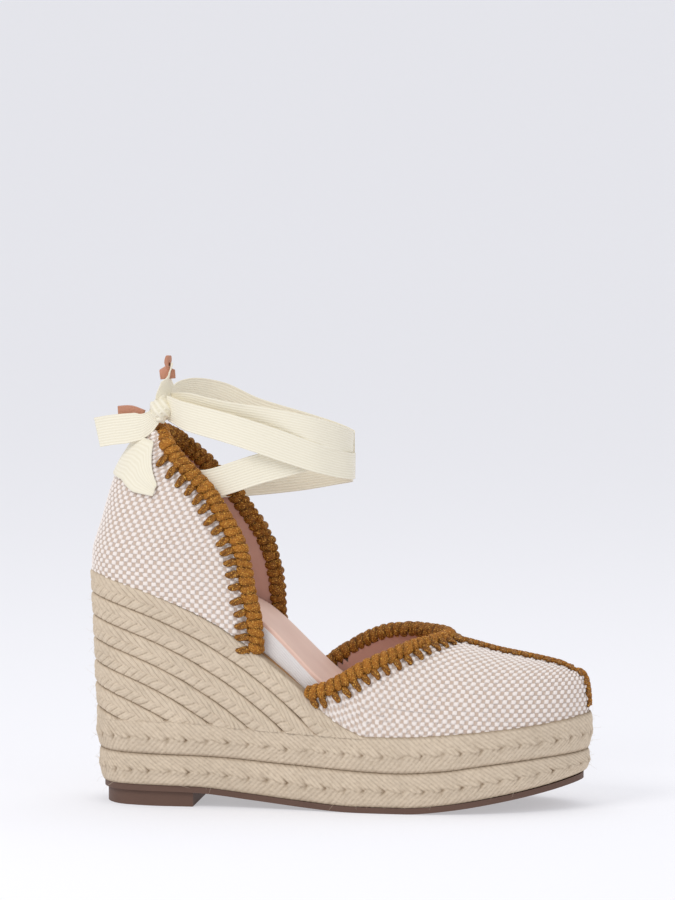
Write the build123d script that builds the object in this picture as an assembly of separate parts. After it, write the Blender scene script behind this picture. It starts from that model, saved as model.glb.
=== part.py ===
from build123d import *
import math
import os

# A right-foot espadrille sandal on a high wedge: jute-wrapped platform and wedge, woven toe cap and heel
# counter edged with crochet, and a cotton ribbon that passes through two slits in the counter, wraps the
# ankle and is knotted behind it.
# Millimetres. X runs from heel to toe, Y from the outer (lateral) to the inner (medial) side, Z is up.
# The origin is on the floor, under the middle of the overall box.

# ---- driving dimensions ----
LIFT_FRONT_X = -66.0        # front face of the heel lift
LIFT_INSET, OUTSOLE_INSET = 6.0, 4.4
OUTSOLE_THICK = 2.8
UPPER_BAND_INSET, LOWER_BAND_INSET, CORE_INSET, WEDGE_CORE_INSET = 0.4, 2.2, 6.4, 7.0
BRAID_GAP = 0.15            # between neighbouring braids
WEDGE_ROW = 10.4            # height of one jute row on the wedge
WEDGE_ROWS = 7
WEDGE_FOOT_Z, WEDGE_HEAD_Z = 38.0, 112.0
WEDGE_FOOT_INSET, WEDGE_HEAD_INSET = 1.0, 3.5
WEDGE_OVERHANG = 5.8        # how far the head of the wedge stands back over its foot
CLOTH = 1.8                 # woven upper
LINING = 0.8
LAYER_GAP = 0.1
COUNTER_INSET = 0.8         # the counter stands this far inside the wedge's rim
VAMP_INSET = 2.0
SOCK = 2.4                  # padded sock lining on the insole board
INSOLE_CLEAR = 5.0          # between the insole and the upper's lining
TRIM_RADIUS = 3.3           # crochet edging
SEAM_RADIUS = 1.7           # crochet along the middle of the toe cap
STITCH_PITCH = 6.0          # blanket stitches under the edging
STITCH_SIZE = (6.2, 2.0, 0.9)
STITCH_LIFT = 0.25
THROAT_X = 50.0
RIBBON_THICK = 0.8
RIBBON_TALL = 14.0          # how tall the tape stands in side view
ANKLE_CENTRE_X = -37.5
UPPER_RING = (44.0, 29.0, 0.0)          # half length, half width and middle of the two wraps
LOWER_RING = (42.6, 20.8, -1.45)
UPPER_LINE = [(-90, 191.5), (-75, 187.6), (-50, 178), (-25, 170), (-5, 164.6), (5, 162.3), (12, 161)]
LOWER_LINE = [(-80, 144.5), (-70, 147), (-55, 151.5), (-40, 155.4), (-20, 159.4), (-5, 161.5), (12, 163)]
SLIT_X, SLIT_Z = -84.0, 152.0
KNOT_AT, KNOT_SIZE = (-82.0, -5.0, 190.0), (13.0, 15.0, 14.5)
TAIL_ROOT, TAIL_WIDTH, TIP_LENGTH = 7.0, 13.0, 9.0
SIDE_TAIL_AT, SIDE_TAIL_LENGTH, SIDE_TAIL_DROP = (-88.8, -7.0, 188.5), 30.0, 30.0
UP_TAIL_AT, UP_TAIL_LENGTH, UP_TAIL_LEAN = (-81.0, -6.0, 197.5), 16.0, 88.0
BINDING = 0.7


# ---- smooth curves ----
def smooth(points):
    """A function z(x) that passes smoothly through the points."""
    def slope(i):
        a, b = points[max(i - 1, 0)], points[min(i + 1, len(points) - 1)]
        return (b[1] - a[1]) / (b[0] - a[0])

    def at(x):
        i = max(j for j in range(len(points) - 1) if j == 0 or points[j][0] <= x)
        (x0, z0), (x1, z1) = points[i], points[i + 1]
        width = x1 - x0
        t = (x - x0) / width
        if t < 0:
            return z0 + slope(i) * (x - x0)
        if t > 1:
            return z1 + slope(i + 1) * (x - x1)
        rise = z1 - z0
        a, b = slope(i) * width, slope(i + 1) * width
        return z0 + t * (a + t * (3 * rise - 2 * a - b + t * (a + b - 2 * rise)))
    return at


sole_line = smooth([(-125, 7), (-66, 6.8), (-40, 4.2), (-15, 1.6), (8, 0), (36, 0), (52, 1.4),
                    (70, 4), (95, 8.6), (113, 12.6), (125, 15.6)])


def underside(x):
    """The outsole's lower face, which is flat on the floor under the ball of the foot."""
    return max(sole_line(x), 0.0)


band_line = smooth([(-125, 25.4), (-100, 25), (-56, 24), (-20, 21.4), (27, 19), (50, 20), (74, 23),
                    (98, 25.4), (125, 27)])
platform_top = smooth([(-125, 40), (-89, 41), (-65, 40.4), (-45, 38.6), (-17, 37), (15, 36), (38, 36.3),
                       (62, 38), (86, 40), (110, 42.8), (125, 45)])
WEDGE_EDGE = [(-145, 111), (-125, 109.6), (-116.4, 108.4), (-105, 106.4), (-89, 102), (-73, 96.2),
              (-57, 88.6), (-45, 81.3), (-36, 75.2), (-25, 66.6), (-14, 57), (-6, 49), (3, 41.6),
              (12, 37.2), (24, 33), (40, 28)]
wedge_edge = smooth(WEDGE_EDGE)
insole_top = smooth([(-125, 116.5), (-112, 115.8), (-100, 113.6), (-89, 110.6), (-73, 105.6), (-57, 99.6),
                     (-45, 94.6), (-37, 90.6), (-31, 86), (-25, 80.4), (-18, 73.3), (-11, 66.2),
                     (-3, 58.8), (6, 52.6), (18, 48.6), (35, 46.6), (60, 47), (90, 49), (125, 52.6)])
ridge = smooth([(-25, 132), (0, 109), (20, 95), (35, 85.5), (49.6, 78.4), (62, 75), (74, 71.8), (86, 69.4),
                (98, 66.8), (104, 65), (109, 62)])
counter_back = smooth([(108, -116.8), (118, -116.2), (125, -114.2), (132, -112), (142, -109.2),
                       (151, -106.4), (158, -103.2), (166, -98.2), (174, -92.4), (184, -84.5)])
counter_width = smooth([(60, 1.0), (112, 1.0), (125, 1.0), (140, 0.95), (155, 0.83), (168, 0.68),
                        (184, 0.52)])

# Edges of the upper as they look from the side: x, z
PEAK = (-85.5, 177.0)
COUNTER_EDGE = {
    "lateral": [(-40.5, 70), (-41.5, 82), (-43, 94), (-45.5, 110), (-49, 124), (-55.5, 136.5),
                (-63.5, 149), (-73, 162), PEAK],
    "medial": [(-33, 66), (-33.5, 82), (-34, 94), (-35.5, 108), (-40, 121), (-48, 135), (-58, 149),
               (-70, 163.5), PEAK],
}
VAMP_EDGE = {
    "lateral": [(-22, 52.6), (-11, 55.2), (-1, 57.8), (8, 62.6), (17, 68), (26, 72.4), (35, 75.8),
                (43, 77.6), (51, 78.6), (60, 82)],
    "medial": [(-22, 54), (-10, 63), (-1, 69.6), (8, 75), (17, 78.8), (25, 80.4), (33, 80.6),
               (42, 79.8), (51, 78.8), (60, 82)],
}

# The platform's rim seen from above, from the back of the heel round the lateral side to the toe.
RIM_POINTS = [(-115.2, -0.5), (-111.5, -15.5), (-101, -26.3), (-80, -31.4), (-50, -31.8), (-20, -34.8),
              (10, -40), (38, -42), (64, -39.8), (87, -32), (104, -20), (114, -7), (117.5, 5),
              (114.5, 16), (104.5, 27), (86, 36.3), (62, 41.2), (38, 42), (12, 37.5), (-18, 31),
              (-50, 28), (-80, 29), (-101, 24.8), (-111.5, 14.3)]
RIM_STEPS = 2               # points on the rim for each given one
TOE_TIP = 12                # index in RIM_POINTS


def rim():
    """The rim as a closed ring of points."""
    n, ring = len(RIM_POINTS), []
    for i in range(n):
        p, q, r, s = (RIM_POINTS[(i + k) % n] for k in (-1, 0, 1, 2))
        for j in range(RIM_STEPS):
            t = j / RIM_STEPS
            ring.append(tuple(
                q[k] + 0.5 * t * (r[k] - p[k] + t * (2 * p[k] - 5 * q[k] + 4 * r[k] - s[k]
                                                    + t * (3 * (q[k] - r[k]) + s[k] - p[k])))
                for k in (0, 1)))
    return ring


RIM = rim()


def inward(points, distance, closed=True):
    """Points moved inward, at right angles to the line that they follow."""
    n, moved = len(points), []
    for i, (x, y) in enumerate(points):
        a = points[(i - 1) % n] if closed else points[max(i - 1, 0)]
        b = points[(i + 1) % n] if closed else points[min(i + 1, n - 1)]
        dx, dy = b[0] - a[0], b[1] - a[1]
        size = math.hypot(dx, dy)
        moved.append((x - dy / size * distance, y + dx / size * distance))
    return moved


# ---- building blocks ----
def arcs(points):
    """Arcs through the points, each through three of them: an odd number of points."""
    edges = []
    for a, b, c in zip(points[:-2:2], points[1:-1:2], points[2::2]):
        bow = (b[0] - a[0]) * (c[1] - a[1]) - (b[1] - a[1]) * (c[0] - a[0])
        straight = abs(bow) < 0.02 * math.hypot(c[0] - a[0], c[1] - a[1])
        edges.append(Line(a, c) if straight else ThreePointArc(a, b, c))
    return edges


def plan_block(points, low, high):
    """The outline seen from above, from height low to height high."""
    face = make_face(Curve() + arcs(list(points) + [points[0]]))
    return Pos(0, 0, low) * extrude(face, amount=high - low)


def sampled(curve, x0, x1, step=6.0):
    count = 2 * max(2, round((x1 - x0) / step / 2))
    return [(x0 + (x1 - x0) * i / count, curve(x0 + (x1 - x0) * i / count)) for i in range(count + 1)]


def side_block(low, high, y0=-70.0, y1=70.0):
    """Everything between two lines drawn in side view, from y0 to y1."""
    outline = Curve() + arcs(low) + [Line(low[-1], high[-1])] + arcs(high) + [Line(high[0], low[0])]
    return Pos(0, y1, 0) * extrude(Plane.XZ * make_face(outline), amount=y1 - y0)


def between(low, high, x0=-124.0, x1=124.0):
    return side_block(sampled(low, x0, x1), sampled(high, x0, x1))


def level(z):
    return lambda x: z


def raised(curve, by):
    return lambda x: curve(x) + by


def box_between(low, high):
    size = [b - a for a, b in zip(low, high)]
    return Pos(*low) * Box(*size, align=(Align.MIN, Align.MIN, Align.MIN))


# ---- sole ----
def wedge_share(z):
    return min(max((z - WEDGE_FOOT_Z) / (WEDGE_HEAD_Z - WEDGE_FOOT_Z), 0), 1)


def wedge_outline(z, inset=0.0):
    """The wedge's rim at a height, moved in by inset."""
    share = wedge_share(z)
    own = WEDGE_FOOT_INSET + share * (WEDGE_HEAD_INSET - WEDGE_FOOT_INSET)
    return [(x - share * WEDGE_OVERHANG, y) for x, y in inward(RIM, own + inset)]


def heel_lift():
    block = plan_block(inward(RIM, LIFT_INSET), 0, 14)
    return block & box_between((-130, -60, 0), (LIFT_FRONT_X, 60, 20)) & between(level(0.0), underside)


def outsole():
    sole = plan_block(inward(RIM, OUTSOLE_INSET), -2, 28)
    return sole & between(underside, raised(underside, OUTSOLE_THICK))


def platform_core():
    top = raised(underside, OUTSOLE_THICK + BRAID_GAP)
    return plan_block(inward(RIM, CORE_INSET + BRAID_GAP), -2, 60) & between(top, platform_top)


def platform_braid(inset, low, high):
    ring = plan_block(inward(RIM, inset), -2, 60) - plan_block(inward(RIM, CORE_INSET), -3, 61)
    return ring & between(low, high)


def wedge_core_outline(inset):
    return [(x - WEDGE_OVERHANG / 2, y) for x, y in inward(RIM, WEDGE_CORE_INSET + inset)]


def wedge_core():
    block = plan_block(wedge_core_outline(BRAID_GAP), 30, 115)
    return block & between(raised(platform_top, BRAID_GAP), wedge_edge, -124, 13)


def lowered(points, distance):
    """A side line moved down at right angles to itself."""
    moved = []
    for i, (x, z) in enumerate(points):
        a, b = points[max(i - 1, 0)], points[min(i + 1, len(points) - 1)]
        size = math.hypot(b[0] - a[0], b[1] - a[1])
        moved.append((x + (b[1] - a[1]) / size * distance, z - (b[0] - a[0]) / size * distance))
    return moved


def row_line(distance):
    return smooth(lowered(WEDGE_EDGE, distance))


def wedge_braid(row):
    """One jute row, round the back of the wedge from side to side."""
    top = row_line((row - 1) * WEDGE_ROW + BRAID_GAP)
    foot = row_line(row * WEDGE_ROW)
    middle = foot(-110) + WEDGE_ROW / 2
    ring = plan_block(wedge_outline(middle), 30, 120) - plan_block(wedge_core_outline(0), 29, 121)
    end = max(x for x in range(-124, 31) if top(x) > platform_top(x)) + 2
    band = between(foot, top, -124, end)
    return ring & band & between(raised(platform_top, BRAID_GAP), level(125), -124, 30)


def insole_outline(inset):
    share = [wedge_share(wedge_edge(x)) for x, y in RIM]
    points = inward(RIM, inset)
    return [(x - s * WEDGE_OVERHANG, y) for (x, y), s in zip(points, share)]


INSOLE_INSET = WEDGE_HEAD_INSET + COUNTER_INSET + CLOTH + LINING + LAYER_GAP + INSOLE_CLEAR


def footbed(inset, low, high):
    return plan_block(insole_outline(INSOLE_INSET + inset), 20, 130) & between(low, high)


def sole_top(x):
    return max(wedge_edge(x), platform_top(x))


# ---- heel counter ----
def counter_ring(z, depth):
    """A horizontal line through the counter at a height, open at the front, depth under its outer face."""
    share, count = wedge_share(z), len(RIM)
    ring = wedge_outline(min(z, WEDGE_HEAD_Z), COUNTER_INSET)
    reach = 5 * RIM_STEPS + 1
    heel = [ring[(reach - i) % count] for i in COUNTER_PLACES]
    narrow, back = counter_width(z), min(x for x, y in heel)
    lean = counter_back(z) - back if z > 108 else 0.0
    moved = [(x + lean, y * narrow) for x, y in heel]
    return inward(moved, -depth, closed=False)


COUNTER_LEVELS = [66, 90, 110, 126, 144, 162, 175, 184]
COUNTER_PLACES = [0, 4, 7, 9, 11, 13, 15, 18, 22]       # points of the rim that the counter follows


def counter_block(depth, thick):
    """One layer of the counter before its edges are cut."""
    sections = []
    for z in COUNTER_LEVELS:
        outer = [Vector(x, y, z) for x, y in counter_ring(z, depth)]
        inner = [Vector(x, y, z) for x, y in counter_ring(z, depth + thick)]
        sections.append(Wire([Edge.make_spline(outer), Edge.make_line(outer[-1], inner[-1]),
                              Edge.make_spline(inner[::-1]), Edge.make_line(inner[0], outer[0])]))
    return Solid.make_loft(sections)


def counter_front(side, setback):
    """What the counter's edge line cuts off one half: everything in front of it and above it."""
    edge = [(x, z) for x, z in COUNTER_EDGE[side]]
    edge = [(x + 60, z - 40) for x, z in edge[:1]] + lowered(edge[::-1], setback)[::-1]
    edge += [(edge[-1][0] - 14, edge[-1][1] + 10), (-130, 215)]
    lead = [(-30, 20), (30, 20), (30, 230), (-130, 230)]
    outline = Polyline(*edge, *lead[::-1], close=True)
    y0, y1 = (-70, 0) if side == "lateral" else (0, 70)
    return Pos(0, y1, 0) * extrude(Plane.XZ * make_face(outline), amount=y1 - y0)


def counter_layer(depth, thick, setback=0.0, lid=200.0):
    layer = counter_block(depth, thick)
    layer -= between(level(10), raised(wedge_edge, LAYER_GAP), -124, 20)
    for side in COUNTER_EDGE:
        layer -= counter_front(side, setback)
    return layer & box_between((-130, -70, 60), (10, 70, lid))


def counter_at(x, z, side, depth):
    """The point of the counter's layer at x and z."""
    ring = counter_ring(z, depth)
    half = ring[:len(ring) // 2 + 1] if side == "lateral" else ring[len(ring) // 2:][::-1]
    for (xa, ya), (xb, yb) in zip(half, half[1:]):
        if xb <= x <= xa:
            return Vector(x, ya + (yb - ya) * (x - xa) / (xb - xa), z)
    return Vector(x, half[-1][1], z)


# ---- toe cap ----
def vamp_foot(side, t):
    """The foot of the toe cap: t is 0 at its back end and 1 at the toe. Gives x, y."""
    first = 5 * RIM_STEPS - 2
    tip = TOE_TIP * RIM_STEPS
    ring = inward(RIM, VAMP_INSET)
    last = len(RIM) - first + RIM_STEPS
    place = first + (tip - first) * t if side == "lateral" else last + (tip - last) * t
    i = int(math.floor(place))
    a, b = ring[i % len(ring)], ring[(i + 1) % len(ring)]
    return tuple(a[k] + (b[k] - a[k]) * (place - i) for k in (0, 1))


RIDGE_END = 109.0
toe_lead = smooth([(-40, -40), (60, 60), (90, 89), (104, 101), (112, 107), (116, RIDGE_END)])
roundness = smooth([(-40, 0.85), (50, 0.8), (95, 0.66), (116, 0.5)])


def ridge_y(x):
    return 5.0 * min(max((x - 40) / 75, 0), 1)


def vamp_point(side, t, turn, depth=0.0):
    """A point of the toe cap: turn is 0 at its foot and 90 degrees at its ridge."""
    x, y = vamp_foot(side, t)
    xr = min(toe_lead(x), RIDGE_END)
    foot, top = Vector(x, y, sole_top(x) + LAYER_GAP), Vector(xr, ridge_y(xr), ridge(xr))
    run = Vector(top.X - foot.X, top.Y - foot.Y, 0)
    length, power = run.length, roundness(x)
    across = 1 - math.cos(math.radians(turn)) ** power
    up = math.sin(math.radians(turn)) ** 0.92
    ahead = run * ((depth + (length - 0.4 - depth) * across) / length)
    return foot + ahead + Vector(0, 0, (top.Z - depth - foot.Z) * up)


TURNS = [0, 16, 33, 50, 65, 78, 90]


def vamp_layer(side, depth, thick, count=10):
    """One layer of one half of the toe cap, before its top edge is cut."""
    sections = []
    for i in range(count + 1):
        outer = [vamp_point(side, i / count, turn, depth) for turn in TURNS]
        inner = [vamp_point(side, i / count, turn, depth + thick) for turn in TURNS]
        wire = Wire([Edge.make_spline(outer), Edge.make_line(outer[-1], inner[-1]),
                     Edge.make_spline(inner[::-1]), Edge.make_line(inner[0], outer[0])])
        sections.append(wire)
    return Solid.make_loft(sections)


def vamp_keep(side, ahead, drop):
    """What one half of the toe cap keeps in side view, with its edge moved to make room for its edging."""
    edge = [(x + ahead, z - drop) for x, z in VAMP_EDGE[side]]
    outline = Spline(*edge) + Polyline(edge[-1], (78, 95), (124, 95), (124, 20), (-22, 20), edge[0])
    return Pos(0, 70, 0) * extrude(Plane.XZ * make_face(outline), amount=140)


def over_wedge(shape):
    """The shape with whatever would stand in the wedge's jute cut off."""
    return shape - between(level(10), raised(wedge_edge, LAYER_GAP), -60, 30)


def vamp_cloth(side):
    return over_wedge(vamp_layer(side, 0, CLOTH) & vamp_keep(side, 4.0, 2.6))


def vamp_lining(side):
    return over_wedge(vamp_layer(side, CLOTH + LAYER_GAP, LINING) & vamp_keep(side, 5.0, 4.0))


def nearest(surface, start, step, miss):
    """The place (u, v) on a surface where miss(point) is least, searched from a start."""
    u, v = start
    while step[0] > 1e-4:
        tries = [(u + i * step[0], v + j * step[1]) for i in (-1, 0, 1) for j in (-1, 0, 1)]
        best = min(tries, key=lambda place: miss(surface(*place)))
        if miss(surface(*best)) < miss(surface(u, v)) - 1e-6:
            u, v = best
        else:
            step = (step[0] / 2, step[1] / 2)
    return u, v


def vamp_place(side, x, z, depth):
    """Where on the toe cap x and z are: t and turn."""
    def surface(t, turn):
        return vamp_point(side, min(max(t, 0), 1), min(max(turn, 0), 90), depth)
    return nearest(surface, (0.35, 50), (0.1, 10), lambda p: math.hypot(p.X - x, p.Z - z))


def vamp_at(side, x, z, depth):
    """The point of the toe cap at x and z."""
    t, turn = vamp_place(side, x, z, depth)
    return vamp_point(side, min(max(t, 0), 1), min(max(turn, 0), 90), depth)


# ---- crochet edging and its stitches ----
def tube(points, radius):
    path = Edge.make_spline(points)
    start = Plane(points[0], z_dir=path % 0)
    return sweep(start * Circle(radius), path=path)


def counter_edging():
    points = counter_edge_points(CLOTH / 2)
    roll = tube(points, TRIM_RADIUS)
    return roll - between(level(10), raised(wedge_edge, LAYER_GAP), -124, 20)


def counter_edge_points(depth):
    """The line that the counter's edging follows, from the lateral foot over the peak to the medial foot."""
    sides = []
    for side in ("lateral", "medial"):
        sides.append([counter_at(x, z, side, depth) for x, z in COUNTER_EDGE[side][1:-1]])
    return sides[0] + [Vector(PEAK[0] - 1.5, 0, PEAK[1] + 1.0)] + sides[1][::-1]


def vamp_edge_points(depth):
    """The line that the toe cap's edging follows, from its lateral foot over the throat."""
    sides = []
    for side in ("lateral", "medial"):
        sides.append([vamp_at(side, x, z, depth) for x, z in VAMP_EDGE[side][1:7]])
    throat = Vector(THROAT_X, ridge_y(THROAT_X), ridge(THROAT_X) - depth)
    return sides[0] + [throat] + sides[1][::-1]


def vamp_edging():
    roll = tube(vamp_edge_points(CLOTH / 2), TRIM_RADIUS)
    roll -= between(level(10), raised(platform_top, LAYER_GAP), -60, 40)
    return roll - between(level(10), raised(wedge_edge, LAYER_GAP), -60, 40)


def vamp_seam():
    xs = [THROAT_X + 5 + (RIDGE_END - THROAT_X - 7) * i / 6 for i in range(7)]
    return tube([Vector(x, ridge_y(x), ridge(x) + SEAM_RADIUS + 0.3) for x in xs], SEAM_RADIUS)


def stitch(start, end, out):
    """One blanket stitch lying on the cloth between two points of it."""
    middle = (start + end) / 2 + out * (STITCH_LIFT + STITCH_SIZE[2] / 2)
    return Plane(middle, x_dir=end - start, z_dir=out) * Box(*STITCH_SIZE)


def counter_stitches():
    """Blanket stitches behind the counter's edging, on both sides."""
    shapes = []
    for side, sign in (("lateral", -1), ("medial", 1)):
        path = Spline(*COUNTER_EDGE[side][2:-1])
        count = round(path.length / STITCH_PITCH)
        for i in range(count + 1):
            at, run = path @ (i / count), path % (i / count)
            back = Vector(-run.Y, run.X)
            near, far = (at + back * (TRIM_RADIUS + 0.5 + d) for d in (0, STITCH_SIZE[0]))
            start, end = (counter_at(p.X, p.Y, side, 0) for p in (near, far))
            beside = counter_at((near.X + far.X) / 2 - run.X, (near.Y + far.Y) / 2 - run.Y, side, 0)
            out = (end - start).cross(beside - start).normalized()
            out = out if out.Y * sign > 0 else out * -1
            shapes.append(stitch(start, end, out))
    return Compound(children=shapes)


def vamp_stitches():
    """Blanket stitches in front of the edging of the toe cap's mouth."""
    line = Edge.make_spline(vamp_edge_points(0))
    count = round(line.length / STITCH_PITCH)
    shapes = []
    for i in range(2, count - 1):
        at, run = line @ (i / count), line % (i / count)
        side = "lateral" if at.Y < ridge_y(at.X) else "medial"
        t, turn = vamp_place(side, at.X, at.Z, 0)

        def surface(u, v):
            return vamp_point(side, min(max(u, 0), 1), min(max(v, 0), 90), 0)
        out = (surface(t + 0.01, turn) - surface(t - 0.01, turn)).cross(
            surface(t, turn + 1) - surface(t, turn - 1)).normalized()
        out = out if out.Z > 0 else out * -1
        ahead = out.cross(run).normalized()
        ahead = ahead if ahead.X > 0 else ahead * -1
        ends = []
        for reach in (TRIM_RADIUS + 0.5, TRIM_RADIUS + 0.5 + STITCH_SIZE[0]):
            goal = at + ahead * reach
            ends.append(surface(*nearest(surface, (t, turn), (0.02, 4), lambda p: (p - goal).length)))
        if (ends[1] - ends[0]).length > 4:
            shapes.append(stitch(ends[0], ends[1], out))
    return Compound(children=shapes)


# ---- ribbon ----
def ankle_ring(half_length, half_width, centre_y=0.0):
    """A tape-thick ring round the ankle, seen from above."""
    outer = Ellipse(half_length, half_width)
    inner = Ellipse(half_length - RIBBON_THICK, half_width - RIBBON_THICK)
    return extrude(Pos(ANKLE_CENTRE_X, centre_y, 120) * (outer - inner), amount=90)


def tape_band(line, width):
    """What a tape that is width tall covers in side view, above and below a line of points."""
    up, down = [(x, z + width / 2) for x, z in line], [(x, z - width / 2) for x, z in line]
    return side_block(down, up)



def ribbon_upper_wrap():
    wrap = ankle_ring(*UPPER_RING) & tape_band(UPPER_LINE, RIBBON_TALL)
    low = [k - d / 2 - 0.3 for k, d in zip(KNOT_AT, KNOT_SIZE)]
    high = [k + d / 2 + 0.3 for k, d in zip(KNOT_AT, KNOT_SIZE)]
    return wrap - box_between(low, high)


def ribbon_lower_wrap():
    wrap = ankle_ring(*LOWER_RING) & tape_band(LOWER_LINE, RIBBON_TALL)
    return wrap & box_between((SLIT_X + 1.5, -60, 100), (60, 60, 220))


def with_slits(layer):
    """The tape goes through a slit in each side of the counter."""
    half = RIBBON_TALL / 2 - 0.4
    for y0, y1 in ((-40, -8), (8, 40)):
        layer -= box_between((SLIT_X - 1.4, y0, SLIT_Z - half), (SLIT_X + 1.4, y1, SLIT_Z + half))
    return layer


def ribbon_back():
    """The tape behind the counter, from slit to slit."""
    block = counter_block(-RIBBON_THICK - 0.3, RIBBON_THICK)
    return block & box_between((-130, -60, SLIT_Z - RIBBON_TALL / 2), (SLIT_X, 60, SLIT_Z + RIBBON_TALL / 2))


def ribbon_knot():
    knot = Pos(*KNOT_AT) * Box(*KNOT_SIZE)
    return fillet(knot.edges(), 4.0)


def tail(length, tip=False):
    """A free end of the tape, which runs from the origin along X and widens, or the leather tip on it."""
    if tip:
        half = TAIL_WIDTH / 2 + 0.3
        return box_between((length - TIP_LENGTH + 0.2, -1, -half), (length, 1, half))
    near, far, end = TAIL_ROOT / 2, TAIL_WIDTH / 2, length - TIP_LENGTH
    lower = [(2.4, -near), (end * 0.6, -far), (end, -far)]
    outline = Polyline(*lower, *[(x, -z) for x, z in lower[::-1]], close=True)
    return Pos(0, RIBBON_THICK / 2, 0) * extrude(Plane.XZ * make_face(outline), amount=RIBBON_THICK)


def side_tail(tip):
    return Pos(*SIDE_TAIL_AT) * Rot(Z=180) * Rot(Y=SIDE_TAIL_DROP) * tail(SIDE_TAIL_LENGTH, tip)


def up_tail(tip):
    return Pos(*UP_TAIL_AT) * Rot(Y=-UP_TAIL_LEAN) * tail(UP_TAIL_LENGTH, tip)


# ---- all the pieces ----
os.makedirs("parts", exist_ok=True)
jute_foot = raised(underside, OUTSOLE_THICK + BRAID_GAP)
band_foot = raised(band_line, BRAID_GAP)
board_top = raised(insole_top, -SOCK)
lining_depth = CLOTH + LAYER_GAP
edge_setback = TRIM_RADIUS + 0.6

pieces = {
    "heel_lift": lambda: heel_lift(),
    "outsole": lambda: outsole(),
    "platform_core": lambda: platform_core(),
    "platform_braid_lower": lambda: platform_braid(LOWER_BAND_INSET, jute_foot, band_line),
    "platform_braid_upper": lambda: platform_braid(UPPER_BAND_INSET, band_foot, platform_top),
    "wedge_core": lambda: wedge_core(),
    "insole_board": lambda: footbed(BINDING + 0.1, raised(sole_top, LAYER_GAP), board_top),
    "insole_binding": lambda: (footbed(0, raised(sole_top, LAYER_GAP), board_top)
                               - plan_block(insole_outline(INSOLE_INSET + BINDING), 10, 140)),
    "sock_lining": lambda: footbed(0, raised(board_top, LAYER_GAP), insole_top),
    "counter_cloth": lambda: with_slits(counter_layer(0, CLOTH, edge_setback)),
    "counter_lining": lambda: with_slits(counter_layer(lining_depth, LINING, edge_setback)),
    "counter_edging": lambda: counter_edging(),
    "vamp_lateral": lambda: vamp_cloth("lateral"),
    "vamp_medial": lambda: vamp_cloth("medial"),
    "vamp_lining_lateral": lambda: vamp_lining("lateral"),
    "vamp_lining_medial": lambda: vamp_lining("medial"),
    "counter_stitches": lambda: counter_stitches(),
    "vamp_stitches": lambda: vamp_stitches(),
    "vamp_edging": lambda: vamp_edging(),
    "vamp_seam": lambda: vamp_seam(),
    "ribbon_back": lambda: ribbon_back(),
    "ribbon_lower_wrap": lambda: ribbon_lower_wrap(),
    "ribbon_upper_wrap": lambda: ribbon_upper_wrap(),
    "ribbon_knot": lambda: ribbon_knot(),
    "ribbon_tail_side": lambda: side_tail(False),
    "tail_tip_side": lambda: side_tail(True),
    "ribbon_tail_up": lambda: up_tail(False),
    "tail_tip_up": lambda: up_tail(True),
}
for row in range(1, WEDGE_ROWS + 1):
    pieces[f"wedge_braid_{row}"] = lambda row=row: wedge_braid(row)

for name, make in pieces.items():
    export_step(make(), f"parts/{name}.step")
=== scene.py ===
import math

import bpy
import numpy as np
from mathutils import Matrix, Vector


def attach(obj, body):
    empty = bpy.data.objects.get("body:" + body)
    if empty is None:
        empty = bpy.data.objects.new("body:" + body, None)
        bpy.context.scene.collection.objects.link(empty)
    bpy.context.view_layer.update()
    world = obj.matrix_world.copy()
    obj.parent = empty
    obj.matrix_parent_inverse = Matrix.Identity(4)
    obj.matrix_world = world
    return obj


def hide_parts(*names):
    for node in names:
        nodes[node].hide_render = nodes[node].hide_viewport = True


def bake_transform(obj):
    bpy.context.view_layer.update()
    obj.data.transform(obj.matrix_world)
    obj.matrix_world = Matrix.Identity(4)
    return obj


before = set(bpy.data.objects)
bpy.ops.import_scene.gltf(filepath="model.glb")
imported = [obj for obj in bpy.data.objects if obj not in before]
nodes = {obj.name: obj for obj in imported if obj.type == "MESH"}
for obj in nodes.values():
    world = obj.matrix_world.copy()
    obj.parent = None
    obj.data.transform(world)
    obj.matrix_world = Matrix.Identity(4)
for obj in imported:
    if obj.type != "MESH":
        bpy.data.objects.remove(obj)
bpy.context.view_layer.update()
rng = np.random.default_rng(7)
FINE = 1.0

# ---- driving dimensions, in millimetres ----
WEDGE_ROW, WEDGE_ROWS = 10.4, 7
WEDGE_FOOT_Z, WEDGE_HEAD_Z = 38.0, 112.0
WEDGE_FOOT_INSET, WEDGE_HEAD_INSET = 1.0, 3.5
WEDGE_OVERHANG = 5.8
PLATFORM_DRAFT = 3.2
COUNTER_INSET = 0.8
VAMP_INSET = 2.0
CELL = 2.05                 # one crossing of the weave
STITCH_PITCH = 6.0
TAPE, TAPE_THICK = 13.8, 0.5
ANKLE_X = -37.5


# ---- curves ----
def smooth(points):
    xs, zs = (np.array(c, float) for c in zip(*points))
    n = len(xs)
    a, b = np.maximum(np.arange(n) - 1, 0), np.minimum(np.arange(n) + 1, n - 1)
    slopes = (zs[b] - zs[a]) / (xs[b] - xs[a])

    def at(x):
        x = np.asarray(x, float)
        i = np.clip(np.searchsorted(xs, x, side="right") - 1, 0, n - 2)
        w = xs[i + 1] - xs[i]
        t = np.clip((x - xs[i]) / w, 0, 1)
        rise = zs[i + 1] - zs[i]
        p, q = slopes[i] * w, slopes[i + 1] * w
        z = zs[i] + t * (p + t * (3 * rise - 2 * p - q + t * (p + q - 2 * rise)))
        z = z + np.minimum(x - xs[0], 0) * slopes[0] + np.maximum(x - xs[-1], 0) * slopes[-1]
        return z
    return at


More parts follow.
